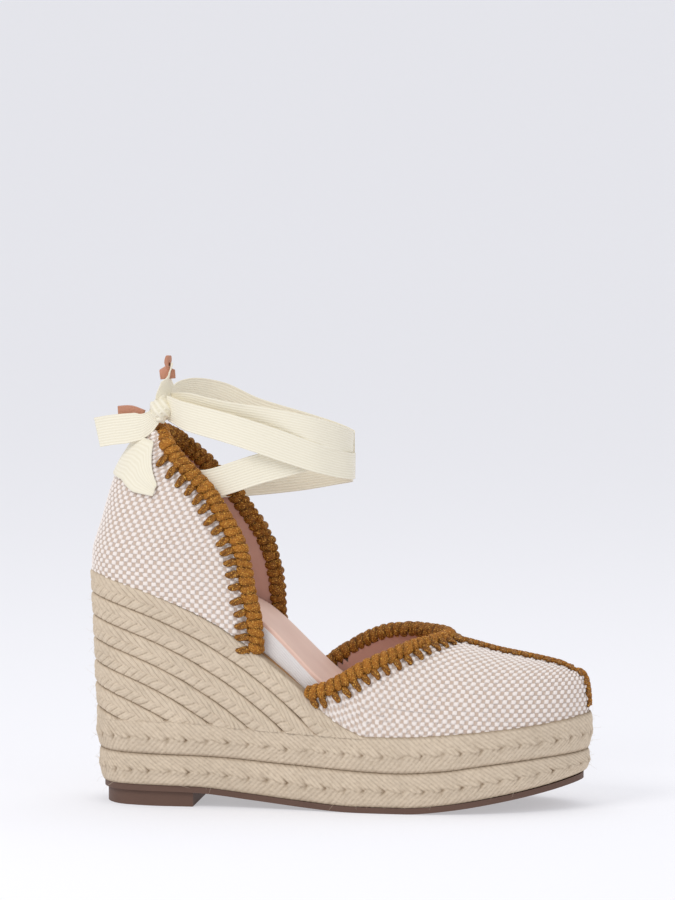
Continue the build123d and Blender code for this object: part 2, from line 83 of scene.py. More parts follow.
sole_line = smooth([(-125, 7), (-66, 6.8), (-40, 4.2), (-15, 1.6), (8, 0), (36, 0), (52, 1.4),
                    (70, 4), (95, 8.6), (113, 12.6), (125, 15.6)])
band_line = smooth([(-125, 25.4), (-100, 25), (-56, 24), (-20, 21.4), (27, 19), (50, 20), (74, 23),
                    (98, 25.4), (125, 27)])
platform_top = smooth([(-125, 40), (-89, 41), (-65, 40.4), (-45, 38.6), (-17, 37), (15, 36), (38, 36.3),
                       (62, 38), (86, 40), (110, 42.8), (125, 45)])
WEDGE_EDGE = [(-145, 111), (-125, 109.6), (-116.4, 108.4), (-105, 106.4), (-89, 102), (-73, 96.2),
              (-57, 88.6), (-45, 81.3), (-36, 75.2), (-25, 66.6), (-14, 57), (-6, 49), (3, 41.6),
              (12, 37.2), (24, 33), (40, 28)]
wedge_edge = smooth(WEDGE_EDGE)
insole_top = smooth([(-125, 116.5), (-112, 115.8), (-100, 113.6), (-89, 110.6), (-73, 105.6), (-57, 99.6),
                     (-45, 94.6), (-37, 90.6), (-31, 86), (-25, 80.4), (-18, 73.3), (-11, 66.2),
                     (-3, 58.8), (6, 52.6), (18, 48.6), (35, 46.6), (60, 47), (90, 49), (125, 52.6)])
ridge = smooth([(-25, 132), (0, 109), (20, 95), (35, 85.5), (49.6, 78.4), (62, 75), (74, 71.8), (86, 69.4),
                (98, 66.8), (104, 65), (109, 62)])
counter_back = smooth([(108, -116.8), (118, -116.2), (125, -114.2), (132, -112), (142, -109.2),
                       (151, -106.4), (158, -103.2), (166, -98.2), (174, -92.4), (184, -84.5)])
counter_width = smooth([(60, 1.0), (112, 1.0), (125, 1.0), (140, 0.95), (155, 0.83), (168, 0.68),
                        (184, 0.52)])
PEAK = (-83.0, 172.2)
COUNTER_EDGE = {
    "lateral": [(-35.5, 70), (-36, 82), (-37.5, 93), (-39.3, 100), (-41.2, 111.5), (-44, 123),
                (-50.4, 134.4), (-57.6, 145.4), (-64.2, 152.7), (-72.7, 160.6), PEAK],
    "medial": [(-33, 66), (-33, 82), (-33.5, 94), (-35.5, 108), (-40, 121), (-48, 134),
               (-57.5, 146.5), (-67.5, 157), (-76.5, 165.6), PEAK],
}
VAMP_EDGE = {
    "lateral": [(-22, 52), (-14, 53.6), (-10, 55.4), (-1, 57.8), (8, 62.6), (17, 68), (26, 72.4), (35, 75.8),
                (43, 77.6), (51, 78.6), (60, 82)],
    "medial": [(-22, 51), (-15, 56.5), (-10, 61), (-1, 67.4), (8, 72.6), (17, 76.2), (25, 78), (33, 78.6),
               (42, 78.4), (51, 78), (60, 82)],
}
RIM_POINTS = [(-115.2, -0.5), (-111.5, -15.5), (-101, -26.3), (-80, -31.4), (-50, -31.8), (-20, -34.8),
              (10, -40), (38, -42), (64, -39.8), (87, -32), (104, -20), (114, -7), (117.5, 5),
              (114.5, 16), (104.5, 27), (86, 36.3), (62, 41.2), (38, 42), (12, 37.5), (-18, 31),
              (-50, 28), (-80, 29), (-101, 24.8), (-111.5, 14.3)]
TOE_TIP = 12


def catmull(points, steps):
    p = np.array(points, float)
    t = (np.arange(steps) / steps)[None, :, None]
    a, b, c, d = (np.roll(p, k, axis=0)[:, None, :] for k in (1, 0, -1, -2))
    ring = b + 0.5 * t * (c - a + t * (2 * a - 5 * b + 4 * c - d + t * (3 * (b - c) + d - a)))
    return ring.reshape(-1, 2)


STEPS = 40
RIM = catmull(RIM_POINTS, STEPS)


def inward(ring, distance):
    d = np.roll(ring, -1, axis=0) - np.roll(ring, 1, axis=0)
    d /= np.linalg.norm(d, axis=1)[:, None]
    return ring + np.stack([-d[:, 1], d[:, 0]], axis=1) * np.asarray(distance)[..., None]


def along(points):
    """Arc length at each point of a line."""
    return np.concatenate([[0], np.cumsum(np.linalg.norm(np.diff(points, axis=0), axis=1))])


def grid_lengths(grid, axis):
    """Arc length along one axis of a grid of points, from that axis's first row."""
    steps = np.cumsum(np.linalg.norm(np.diff(grid, axis=axis), axis=-1), axis=axis)
    return np.insert(steps, 0, 0.0, axis=axis)


def resample(points, count):
    s = along(points)
    at = np.linspace(0, s[-1], count)
    return np.stack([np.interp(at, s, points[:, k]) for k in range(points.shape[1])], axis=1)


# ---- noise ----
def value_noise(x, y, seed=0):
    """Smooth noise from 0 to 1 with one bump per unit."""
    xi, yi = np.floor(x).astype(int), np.floor(y).astype(int)
    fx, fy = x - xi, y - yi
    fx, fy = fx * fx * (3 - 2 * fx), fy * fy * (3 - 2 * fy)

    def cell(i, j):
        h = (i * 374761393 + j * 668265263 + seed * 362437) & 0x7FFFFFFF
        h = ((h ^ (h >> 13)) * 1274126177) & 0x7FFFFFFF
        return ((h ^ (h >> 16)) & 0xFFFF) / 65535.0
    top = cell(xi, yi) * (1 - fx) + cell(xi + 1, yi) * fx
    low = cell(xi, yi + 1) * (1 - fx) + cell(xi + 1, yi + 1) * fx
    return top * (1 - fy) + low * fy


# ---- meshes ----
def mesh_object(name, verts, faces, attributes=None, smooth_shade=True):
    mesh = bpy.data.meshes.new(name)
    verts = np.asarray(verts, float) / 1000.0
    faces = np.asarray(faces, int)
    mesh.vertices.add(len(verts))
    mesh.vertices.foreach_set("co", verts.ravel())
    size = faces.shape[1]
    mesh.loops.add(faces.size)
    mesh.loops.foreach_set("vertex_index", faces.ravel())
    mesh.polygons.add(len(faces))
    mesh.polygons.foreach_set("loop_start", np.arange(0, faces.size, size))
    mesh.update(calc_edges=True)
    mesh.polygons.foreach_set("use_smooth", np.full(len(faces), smooth_shade))
    for key, values in (attributes or {}).items():
        layer = mesh.attributes.new(key, "FLOAT", "POINT")
        layer.data.foreach_set("value", np.asarray(values, np.float32).ravel())
    mesh.validate()
    obj = bpy.data.objects.new(name, mesh)
    bpy.context.collection.objects.link(obj)
    return obj


def grid_faces(rows, columns, wrap_rows=False, wrap_columns=False, keep=None, start=0):
    i = np.arange(rows if wrap_rows else rows - 1)
    j = np.arange(columns if wrap_columns else columns - 1)
    i, j = np.meshgrid(i, j, indexing="ij")
    i1, j1 = (i + 1) % rows, (j + 1) % columns
    quads = np.stack([i * columns + j, i1 * columns + j, i1 * columns + j1, i * columns + j1], axis=-1)
    quads = quads.reshape(-1, 4)
    if keep is not None:
        flags = keep.ravel()
        quads = quads[flags[quads].all(axis=1)]
    return quads + start


def tidy_points(verts, faces, attributes):
    """Leaves out the points that no face uses."""
    used = np.unique(faces)
    index = np.zeros(len(verts), int)
    index[used] = np.arange(len(used))
    return verts[used], index[faces], {k: np.asarray(v).ravel()[used] for k, v in attributes.items()}


def normals_of(grid, wrap_rows=False):
    du = (np.roll(grid, -1, 0) - np.roll(grid, 1, 0)) if wrap_rows else np.gradient(grid, axis=0)
    dv = np.gradient(grid, axis=1)
    n = np.cross(du, dv)
    return n / np.maximum(np.linalg.norm(n, axis=-1, keepdims=True), 1e-9)


# ---- materials ----
def material(name, base, dark=None, rough=0.8, bump=0.0, bump_scale=400.0, specks=None,
             attribute="shade", variation=0.12, tone_and_shade=None, metallic=0.0, sheen=0.0):
    """A shader that mixes base and dark by the mesh's own shade and by noise."""
    mat = bpy.data.materials.new(name)
    mat.use_nodes = True
    tree = mat.node_tree
    tree.nodes.clear()
    out = tree.nodes.new("ShaderNodeOutputMaterial")
    bsdf = tree.nodes.new("ShaderNodeBsdfPrincipled")
    tree.links.new(bsdf.outputs[0], out.inputs[0])
    coords = tree.nodes.new("ShaderNodeTexCoord")
    noise = tree.nodes.new("ShaderNodeTexNoise")
    noise.inputs["Scale"].default_value = bump_scale
    noise.inputs["Detail"].default_value = 4.0
    tree.links.new(coords.outputs["Object"], noise.inputs["Vector"])
    wide = tree.nodes.new("ShaderNodeTexNoise")
    wide.inputs["Scale"].default_value = 60.0
    wide.inputs["Detail"].default_value = 3.0
    tree.links.new(coords.outputs["Object"], wide.inputs["Vector"])
    light = [min(c * (1 + variation), 1.0) for c in base]
    deep = [c * (1 - variation) for c in base]
    tint = tree.nodes.new("ShaderNodeMix")
    tint.data_type = "RGBA"
    tint.inputs["A"].default_value = (*deep, 1)
    tint.inputs["B"].default_value = (*light, 1)
    tree.links.new(wide.outputs["Fac"], tint.inputs["Factor"])
    colour = tint.outputs["Result"]
    if dark is not None:
        shade = tree.nodes.new("ShaderNodeAttribute")
        shade.attribute_name = attribute
        mix = tree.nodes.new("ShaderNodeMix")
        mix.data_type = "RGBA"
        mix.inputs["A"].default_value = (*dark, 1)
        tree.links.new(colour, mix.inputs["B"])
        tree.links.new(shade.outputs["Fac"], mix.inputs["Factor"])
        colour = mix.outputs["Result"]
    if tone_and_shade is not None:
        second = tree.nodes.new("ShaderNodeAttribute")
        second.attribute_name = "tone_and_shade"
        mix = tree.nodes.new("ShaderNodeMix")
        mix.data_type = "RGBA"
        tree.links.new(colour, mix.inputs["A"])
        mix.inputs["B"].default_value = (*tone_and_shade, 1)
        tree.links.new(second.outputs["Fac"], mix.inputs["Factor"])
        colour = mix.outputs["Result"]
    if specks is not None:
        glint = tree.nodes.new("ShaderNodeTexNoise")
        glint.inputs["Scale"].default_value = 1900.0
        glint.inputs["Detail"].default_value = 1.0
        tree.links.new(coords.outputs["Object"], glint.inputs["Vector"])
        ramp = tree.nodes.new("ShaderNodeValToRGB")
        ramp.color_ramp.elements[0].position = 0.58
        ramp.color_ramp.elements[1].position = 0.68
        tree.links.new(glint.outputs["Fac"], ramp.inputs["Fac"])
        mix = tree.nodes.new("ShaderNodeMix")
        mix.data_type = "RGBA"
        tree.links.new(colour, mix.inputs["A"])
        mix.inputs["B"].default_value = (*specks, 1)
        tree.links.new(ramp.outputs["Color"], mix.inputs["Factor"])
        colour = mix.outputs["Result"]
        shine = tree.nodes.new("ShaderNodeMapRange")
        shine.inputs["To Min"].default_value = rough
        shine.inputs["To Max"].default_value = 0.35
        tree.links.new(ramp.outputs["Color"], shine.inputs["Value"])
        tree.links.new(shine.outputs["Result"], bsdf.inputs["Roughness"])
    else:
        bsdf.inputs["Roughness"].default_value = rough
    tree.links.new(colour, bsdf.inputs["Base Color"])
    bsdf.inputs["Metallic"].default_value = metallic
    if sheen:
        bsdf.inputs["Sheen Weight"].default_value = sheen
        bsdf.inputs["Sheen Roughness"].default_value = 0.5
    bsdf.inputs["Specular IOR Level"].default_value = 0.25
    if bump:
        node = tree.nodes.new("ShaderNodeBump")
        node.inputs["Strength"].default_value = bump
        node.inputs["Distance"].default_value = 0.0004
        tree.links.new(noise.outputs["Fac"], node.inputs["Height"])
        tree.links.new(node.outputs["Normal"], bsdf.inputs["Normal"])
    return mat


def linear(r, g, b):
    return [((c / 255 + 0.055) / 1.055) ** 2.4 if c > 10 else c / 255 / 12.92 for c in (r, g, b)]


JUTE = material("jute", linear(222, 205, 182), linear(138, 116, 92), 0.9, bump=0.6, bump_scale=1300,
                variation=0.09)
FIBRE = material("jute_fibre", linear(228, 214, 190), None, 0.85, variation=0.2)
WEAVE = material("woven_cloth", linear(247, 238, 231), linear(120, 92, 74), 0.85, bump=0.4, bump_scale=1500,
                 tone_and_shade=linear(198, 174, 155), variation=0.03)
CROCHET = material("crochet", linear(166, 104, 30), linear(44, 22, 5), 0.6, bump=0.6, bump_scale=1700,
                   specks=linear(224, 170, 76), variation=0.3)
TAPE_MAT = material("ribbon", linear(245, 239, 220), linear(222, 212, 184), 0.75, bump=0.25, bump_scale=900,
                    sheen=0.3, variation=0.02)
SOCK_MAT = material("pink_leather", linear(240, 207, 190), linear(196, 150, 132), 0.62, bump=0.3,
                    bump_scale=500, variation=0.03)
LINING_MAT = material("pink_lining", linear(205, 160, 144), linear(150, 106, 92), 0.75, bump=0.3,
                      bump_scale=600, variation=0.06)
BINDING_MAT = material("white_cloth", linear(238, 233, 230), linear(190, 182, 178), 0.85, bump=0.6,
                       bump_scale=1400, variation=0.03)
RUBBER_MAT = material("brown_rubber", linear(104, 80, 69), None, 0.6, bump=0.3, bump_scale=700, variation=0.1)
CORE_MAT = material("core", linear(168, 130, 92), None, 0.9, bump=0.6, bump_scale=300, variation=0.3)
BOARD_MAT = material("board", linear(190, 165, 135), None, 0.9, bump=0.4, bump_scale=500, variation=0.15)
TAN_MAT = material("tan_leather", linear(208, 152, 126), linear(150, 98, 76), 0.5, bump=0.4, bump_scale=600,
                   variation=0.08)


def finish_piece(obj, mat, body="sandal", *replaced):
    obj.data.materials.clear()
    obj.data.materials.append(mat)
    if body:
        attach(obj, body)
    if replaced:
        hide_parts(*replaced)
    return obj


# ---- jute ----
def strand(phase):
    """A rounded yarn across one unit of phase: 0 in the groove, 1 on its back."""
    f = phase - np.floor(phase)
    return np.sqrt(np.maximum(1 - (2 * f - 1) ** 2, 0))


def lobe_of(phase):
    """A yarn that comes out from under its neighbour: steep on one side, gentle on the other."""
    f = (phase - np.floor(phase)) ** 0.62
    return np.sqrt(np.maximum(1 - (2 * f - 1) ** 2, 0))


def flat_braid(u, v, seed):
    """Platform braid: yarns slant down to a ropey line in its middle. v runs from 0 at its foot to 1."""
    wobble = 1.6 * (value_noise(u / 9, v * 2 + 5, seed) - 0.5)
    middle = 0.47 + 0.05 * (value_noise(u / 14, v * 0 + 3, seed + 1) - 0.5)
    mm = (v - middle) * 17.0
    upper = mm > 0
    lean = np.where(upper, 1.15, -0.95)
    bundle = (u + wobble + lean * mm) / 2.6
    yarn = strand(bundle)
    fine = strand(bundle * 3 + 0.35 * value_noise(u, mm, seed + 2))
    lobe_at = (u + wobble + np.where(upper, 0.9, -0.5) * mm) / 9.3
    lobe = lobe_of(lobe_at) * np.exp(-(mm / 2.4) ** 2)
    step = lobe_at - np.floor(lobe_at)
    valley = np.exp(-(np.minimum(step, 1 - step) / 0.10) ** 2) * np.exp(-(mm / 2.0) ** 2)
    valley *= 0.35 + 0.9 * value_noise(u / 8, v * 0 + 7, seed + 6)
    centre = np.exp(-((mm - 0.9 * np.sin(lobe_at * 2 * math.pi)) / 0.5) ** 2)
    pillow = 1 - np.abs(2 * v - 1) ** 5
    height = 1.1 * pillow + 0.34 * yarn + 0.14 * fine + 0.75 * lobe - 0.45 * valley - 0.20 * centre
    # painted shade: darker in the valleys under the lobes and along the ropey middle, and darker near the top and
    # foot where the band turns in; the noise added after is random tone
    shade = 0.34 + 0.34 * yarn + 0.30 * fine - 0.50 * valley - 0.22 * centre
    shade *= 0.35 + 0.65 * np.clip(pillow * 1.6, 0, 1)
    shade += 0.22 * (value_noise(u / 1.3, mm / 0.9, seed + 4) - 0.5)
    return height, np.clip(shade, 0, 1)


def row_braid(u, d, seed):
    """Wedge row: long yarns run down its upper half, short plaits cross its lower half. d is 0 at its top."""
    v = d / WEDGE_ROW
    wobble = 1.4 * (value_noise(u / 7, v * 2, seed) - 0.5)
    split = 0.50 + 0.10 * (value_noise(u / 6, v * 0, seed + 1) - 0.5)
    upper = v < split
    gap = d - split * WEDGE_ROW
    a = (u + wobble - 1.55 * gap) / 4.7
    b = (u + wobble + 1.25 * gap) / 4.7 + 0.5
    plait = np.where(upper, lobe_of(a), lobe_of(b))
    yarn = np.where(upper, strand(a * 3 + 0.3 * value_noise(u / 2, d / 2, seed + 2)), strand(b * 3))
    across = np.where(upper, 1 - np.abs(2 * v / split - 1) ** 3,
                      1 - np.abs(2 * (v - split) / (1 - split) - 1) ** 3)
    pillow = 1 - np.abs(2 * np.clip(v, 0, 1) - 1) ** 6
    depth = 0.55 + 0.9 * value_noise(u / 5, d / 4, seed + 8)
    height = 0.9 * pillow + 0.62 * depth * plait * np.clip(0.35 + across, 0, 1) + 0.18 * yarn
    # painted shade: darker in the grooves between plaits and near the row's top and foot where it tucks under its
    # neighbours; the noise added after is random tone
    shade = 0.26 + 0.40 * np.clip(plait * 1.2, 0, 1) + 0.32 * yarn
    shade *= 0.35 + 0.65 * np.clip(pillow * 2.2, 0, 1)
    shade += 0.22 * (value_noise(u / 1.3, d / 0.9, seed + 4) - 0.5)
    return height, np.clip(shade, 0, 1)


def platform_inset(z):
    return PLATFORM_DRAFT * (1 - np.clip((z - 3) / 37, 0, 1))


def platform_band(name, low, high, seed, step):
    count = int(560 / step)
    ring = resample(np.vstack([RIM, RIM[:1]]), count + 1)[:-1]
    u = along(np.vstack([ring, ring[:1]]))[:-1]
    rows = int(19 / step)
    v = np.linspace(0, 1, rows)
    x = ring[:, 0]
    z = low(x)[:, None] + (high(x) - low(x))[:, None] * v[None, :]
    d = np.roll(ring, -1, 0) - np.roll(ring, 1, 0)
    d /= np.linalg.norm(d, axis=1)[:, None]
    out = np.stack([d[:, 1], -d[:, 0], np.zeros(len(d))], axis=1)
    uu, vv = np.meshgrid(u, v, indexing="ij")
    height, shade = flat_braid(uu, vv, seed)
    push = height - 1.75 - platform_inset(z)
    base = np.concatenate([np.repeat(ring[:, None, :], rows, 1), z[..., None]], axis=2)
    grid = base + out[:, None, :] * push[..., None]
    # the top and the foot turn inward
    cap_in = np.linspace(0.8, 5.5, 5)
    top = np.stack([grid[:, -1] - out * c + [0, 0, 0.12] for c in cap_in], axis=1)
    foot = np.stack([grid[:, 0] - out * c for c in cap_in[::-1]], axis=1)
    grid = np.concatenate([foot, grid, top], axis=1)
    # painted shade: the inward-turned foot and top are darkened as the shade in the gaps between bands
    side = np.concatenate([np.full((count, 5), 0.15), shade, np.full((count, 5), 0.35)], axis=1)
    faces = grid_faces(grid.shape[0], grid.shape[1], wrap_rows=True)
    return mesh_object(name, grid.reshape(-1, 3), faces[:, ::-1], {"shade": side})


def wedge_row(row, step):
    """One row of jute round the wedge."""
    ring = resample(np.vstack([RIM, RIM[:1]]), int(560 / step) + 1)[:-1]
    u = along(np.vstack([ring, ring[:1]]))[:-1]
    middle = len(ring) // 2
    ring, u = np.roll(ring, middle, 0), np.roll(u, middle)
    u = np.where(u > u.max() / 2, u - u.max(), u)
    top_line = smooth(lowered(WEDGE_EDGE, (row - 1) * WEDGE_ROW))
    x0 = ring[:, 0]
    keep = top_line(x0) > platform_top(x0) - 1.0
    keep &= x0 < 30
    ring, u = ring[keep], u[keep]
    d = np.gradient(ring, axis=0)
    d /= np.linalg.norm(d, axis=1)[:, None]
    out = np.stack([d[:, 1], -d[:, 0], np.zeros(len(d))], axis=1)
    rows = int((WEDGE_ROW + 0.6) / step)
    depth = np.linspace(-0.15, WEDGE_ROW - 0.1, rows)
    slope = (top_line(ring[:, 0] + 1) - top_line(ring[:, 0] - 1)) / 2
    tilt = np.arctan(slope * np.abs(d[:, 0]))
    x = ring[:, 0]
    z = top_line(x)[:, None] - depth[None, :] / np.cos(tilt)[:, None]
    slide = along(np.stack([u, top_line(x)], axis=1))
    slide = slide - slide[len(slide) // 2]
    uu, dd = np.meshgrid(np.abs(slide), depth, indexing="ij")
    height, shade = row_braid(uu, dd, 11 * row)
    share = np.clip((z - WEDGE_FOOT_Z) / (WEDGE_HEAD_Z - WEDGE_FOOT_Z), 0, 1)
    own = WEDGE_FOOT_INSET + share * (WEDGE_HEAD_INSET - WEDGE_FOOT_INSET)
    push = height - 1.35 - own
    base = np.concatenate([np.repeat(ring[:, None, :], rows, 1), z[..., None]], axis=2)
    base[..., 0] -= share * WEDGE_OVERHANG
    grid = base + out[:, None, :] * push[..., None]
    good = z > platform_top(x)[:, None] - 1.2
    cap_in = np.linspace(0.7, 5.0, 5)
    reach = cap_in * (2.0 if row == 1 else 1.0)
    top = np.stack([grid[:, 0] - out * c + [0, 0, 0.1] for c in reach[::-1]], axis=1)
    foot = np.stack([grid[:, -1] - out * c for c in cap_in], axis=1)
    grid = np.concatenate([top, grid, foot], axis=1)
    good = np.concatenate([np.repeat(good[:, :1], 5, 1), good, np.repeat(good[:, -1:], 5, 1)], axis=1)
    n = len(x)
    # painted shade: the inward-turned top and foot are darkened as the shade in the gaps between rows
    side = np.concatenate([np.full((n, 5), 0.35), shade, np.full((n, 5), 0.15)], axis=1)
    faces = grid_faces(grid.shape[0], grid.shape[1], keep=good)
    verts, faces, extra = tidy_points(grid.reshape(-1, 3), faces, {"shade": side})
    return mesh_object(f"wedge_row_{row}", verts, faces, extra)


def lowered(points, distance):
    moved = []
    for i, (x, z) in enumerate(points):
        a, b = points[max(i - 1, 0)], points[min(i + 1, len(points) - 1)]
        size = math.hypot(b[0] - a[0], b[1] - a[1])
        moved.append((x + (b[1] - a[1]) / size * distance, z - (b[0] - a[0]) / size * distance))
    return moved


jute_foot = lambda x: np.maximum(sole_line(x), 0) + 2.95
upper = platform_band("platform_jute_upper", lambda x: band_line(x) + 0.1, platform_top, 1, 0.42 * FINE)
finish_piece(upper, JUTE, "sandal", "platform_braid_upper")
lower = platform_band("platform_jute_lower", jute_foot, lambda x: band_line(x) - 0.1, 2, 0.42 * FINE)
finish_piece(lower, JUTE, "sandal", "platform_braid_lower")
for row in range(1, WEDGE_ROWS + 1):
    finish_piece(wedge_row(row, 0.30 * FINE), JUTE, "sandal", f"wedge_braid_{row}")


def hairs(name, roots, outward, count, reach):
    """Stray fibres that stand off the jute."""
    verts, faces = [], []
    pick = rng.integers(0, len(roots), count)
    for k, i in enumerate(pick):
        root, out = roots[i], outward[i]
        side = np.cross(out, [0, 0, 1.0])
        lean = rng.normal(0, 1, 3) * 0.9
        length = reach * rng.uniform(0.5, 1.5)
        bend = rng.normal(0, 0.5, 3)
        t = np.linspace(0, 1, 6)[:, None]
        line = root + out * 0.2 + (out * 0.75 + lean) * length * t * (1 - 0.35 * t) + bend * length * t * t
        line[:, 2] = np.maximum(line[:, 2], 0.4)
        radius = 0.05 * (1 - 0.6 * t[:, 0])
        a = np.cross(line[-1] - line[0], [0.3, 0.5, 0.8])
        a /= np.linalg.norm(a)
        b = np.cross(line[-1] - line[0], a)
        b /= np.linalg.norm(b)
        start = len(verts) * 3
        for p, r in zip(line, radius):
            verts.append([p + (a * math.cos(w) + b * math.sin(w)) * r for w in (0, 2.094, 4.189)])
        faces.append(grid_faces(6, 3, wrap_columns=True, start=start))
    return mesh_object(name, np.array(verts).reshape(-1, 3), np.vstack(faces))


def jute_roots():
    ring = resample(np.vstack([RIM, RIM[:1]]), 400)[:-1]
    d = np.roll(ring, -1, 0) - np.roll(ring, 1, 0)
    d /= np.linalg.norm(d, axis=1)[:, None]
    out = np.stack([d[:, 1], -d[:, 0], np.zeros(len(d))], axis=1)
    roots, ways = [], []
    for f in np.linspace(0.02, 0.98, 14):
        low, high = jute_foot(ring[:, 0]), platform_top(ring[:, 0])
        z = low + (high - low) * f
        p = np.concatenate([ring, z[:, None]], axis=1) - out * (platform_inset(z) + 0.3)[:, None]
        roots.append(p)
        ways.append(out)
    for f in np.linspace(0.02, 0.98, 16):
        low, high = platform_top(ring[:, 0]), wedge_edge(ring[:, 0] + 3)
        good = (high > low + 2) & (ring[:, 0] < 0)
        z = low + (high - low) * f
        share = np.clip((z - WEDGE_FOOT_Z) / (WEDGE_HEAD_Z - WEDGE_FOOT_Z), 0, 1)
        own = WEDGE_FOOT_INSET + share * (WEDGE_HEAD_INSET - WEDGE_FOOT_INSET) + 0.3
        p = np.concatenate([ring, z[:, None]], axis=1) - out * own[:, None]
        p[:, 0] -= share * WEDGE_OVERHANG
        roots.append(p[good])
        ways.append(out[good])
    return np.vstack(roots), np.vstack(ways)


ROOTS, WAYS = jute_roots()
finish_piece(hairs("jute_fuzz", ROOTS, WAYS, int(1500 / FINE), 2.2), FIBRE)
low_ones = ROOTS[:, 2] < 12
finish_piece(hairs("jute_fuzz_low", ROOTS[low_ones], WAYS[low_ones], 60, 3.4), FIBRE)


# ---- weave ----
def block(p, q):
    """How far a white thread puffs up, p along it and q across it from the middle of its cell."""
    along_it = np.sqrt(np.maximum(1 - np.abs(p / 0.62) ** 3.4, 0))
    return along_it * np.sqrt(np.maximum(1 - np.abs(q / 0.53) ** 3.0, 0))


def weave(p, q, seed=0):
    """Plain weave. p and q are millimetres along the two threads. Gives height, shade and tone."""
    i, j = np.floor(p / CELL), np.floor(q / CELL)
    fp, fq = p / CELL - i - 0.5, q / CELL - j - 0.5
    over = (i + j) % 2 == 0
    # white threads puff up where they lie on top, beige ones lie lower between them
    puff = np.where(over, block(fp, fq), 0.0)
    for dp, dq in ((1, 0), (-1, 0), (0, 1), (0, -1)):
        puff = np.maximum(puff, np.where(over, 0.0, block(fp - dp, fq - dq)))
    back = np.sqrt(np.maximum(1 - np.abs(2.1 * fp) ** 3, 0))
    white = puff > 0.18
    height = np.where(white, 0.95 * puff, 0.28 * back)
    # painted shade: each thread is lighter on its crown and darker towards its edges and in the gaps between
    # threads; the beige threads' tone is their own colour
    shade = np.clip(np.where(white, 0.05 + 1.25 * puff, 0.10 + 1.0 * back), 0, 1)
    tone_and_shade = np.where(white, 0.0, 0.85)
    grain = value_noise(p * 3.1, q * 3.1, seed) - 0.5
    return height + 0.08 * grain, np.clip(shade + 0.12 * grain, 0, 1), tone_and_shade


def counter_surface(z, a):
    """Points of the counter's outer face: z is the height, a runs from 0 at the lateral front to 1."""
    first = 5 * STEPS + STEPS
    idx = (first - np.asarray(a) * 2 * first)
    ring0 = RIM
    i = np.floor(idx).astype(int)
    f = (idx - i)[..., None]
    d = np.roll(ring0, -1, 0) - np.roll(ring0, 1, 0)
    d /= np.linalg.norm(d, axis=1)[:, None]
    n = len(ring0)
    p = ring0[i % n] * (1 - f) + ring0[(i + 1) % n] * f
    w = d[i % n] * (1 - f) + d[(i + 1) % n] * f
    share = np.clip((np.minimum(z, WEDGE_HEAD_Z) - WEDGE_FOOT_Z) / (WEDGE_HEAD_Z - WEDGE_FOOT_Z), 0, 1)
    own = WEDGE_FOOT_INSET + share * (WEDGE_HEAD_INSET - WEDGE_FOOT_INSET) + COUNTER_INSET
    x = p[..., 0] - share * WEDGE_OVERHANG - w[..., 1] * own
    y = p[..., 1] + w[..., 0] * own
    back = -115.2 - share * WEDGE_OVERHANG + own
    lean = np.where(z > 108, counter_back(z) - back, 0.0)
    x = x + lean
    y = y * counter_width(z)
    return np.stack([x, y, z + 0 * x], axis=-1)


def edge_x(side, z):
    pts = [p[::-1] for p in COUNTER_EDGE[side]]
    return smooth(pts)(z)


def counter_piece(name, step, inside=0.0, textured=True, setback=0.0, lid=174.5):
    """A layer of the counter, cut to the outline that its edging follows."""
    zs = np.arange(70, lid, step)
    aa = np.linspace(0.02, 0.98, int(300 / step))
    zz, ag = np.meshgrid(zs, aa, indexing="ij")
    grid = counter_surface(zz, ag)
    normal = normals_of(grid)
    normal = normal * np.sign((normal * (grid - np.array([-60, 0, 120.0]))).sum(-1))[..., None]
    x, y = grid[..., 0], grid[..., 1]
    edge = np.where(y < 0, edge_x("lateral", zz), edge_x("medial", zz))
    good = (x < edge - setback) & (zz > wedge_edge(x) - 2.0)
    mid = len(aa) // 2
    lengths = grid_lengths(grid, 1)
    s = lengths - lengths[:, mid:mid + 1]
    back_len = np.concatenate([[0], np.cumsum(np.linalg.norm(np.diff(grid[:, mid], axis=0), axis=-1))])
    t = back_len[:, None] + 0 * s
    attributes = {}
    if textured:
        tilt = math.radians(4)
        p = s * math.cos(tilt) + t * math.sin(tilt)
        q = -s * math.sin(tilt) + t * math.cos(tilt)
        height, shade, tone_and_shade = weave(p + 300.3, q + 300.1, 3)
        grid = grid + normal * (height - 0.75)[..., None]
        attributes = {"shade": shade, "tone_and_shade": tone_and_shade}
    else:
        grid = grid - normal * inside
        attributes = {"shade": np.clip(0.8 + 0.2 * value_noise(s / 6, t / 6, 5), 0, 1)}
    faces = grid_faces(*zz.shape, keep=good)
    verts, faces, extra = tidy_points(grid.reshape(-1, 3), faces, attributes)
    return mesh_object(name, verts, faces, extra)


finish_piece(counter_piece("counter_weave", 0.36 * FINE), WEAVE, "sandal", "counter_cloth")
finish_piece(counter_piece("counter_inside", 1.5, inside=2.7, textured=False, setback=1.0, lid=173),
             LINING_MAT, "sandal", "counter_lining")

# ---- toe cap ----
toe_lead = smooth([(-40, -40), (60, 60), (90, 89), (104, 101), (112, 107), (116, 109)])
roundness = smooth([(-40, 0.85), (50, 0.8), (95, 0.66), (116, 0.5)])


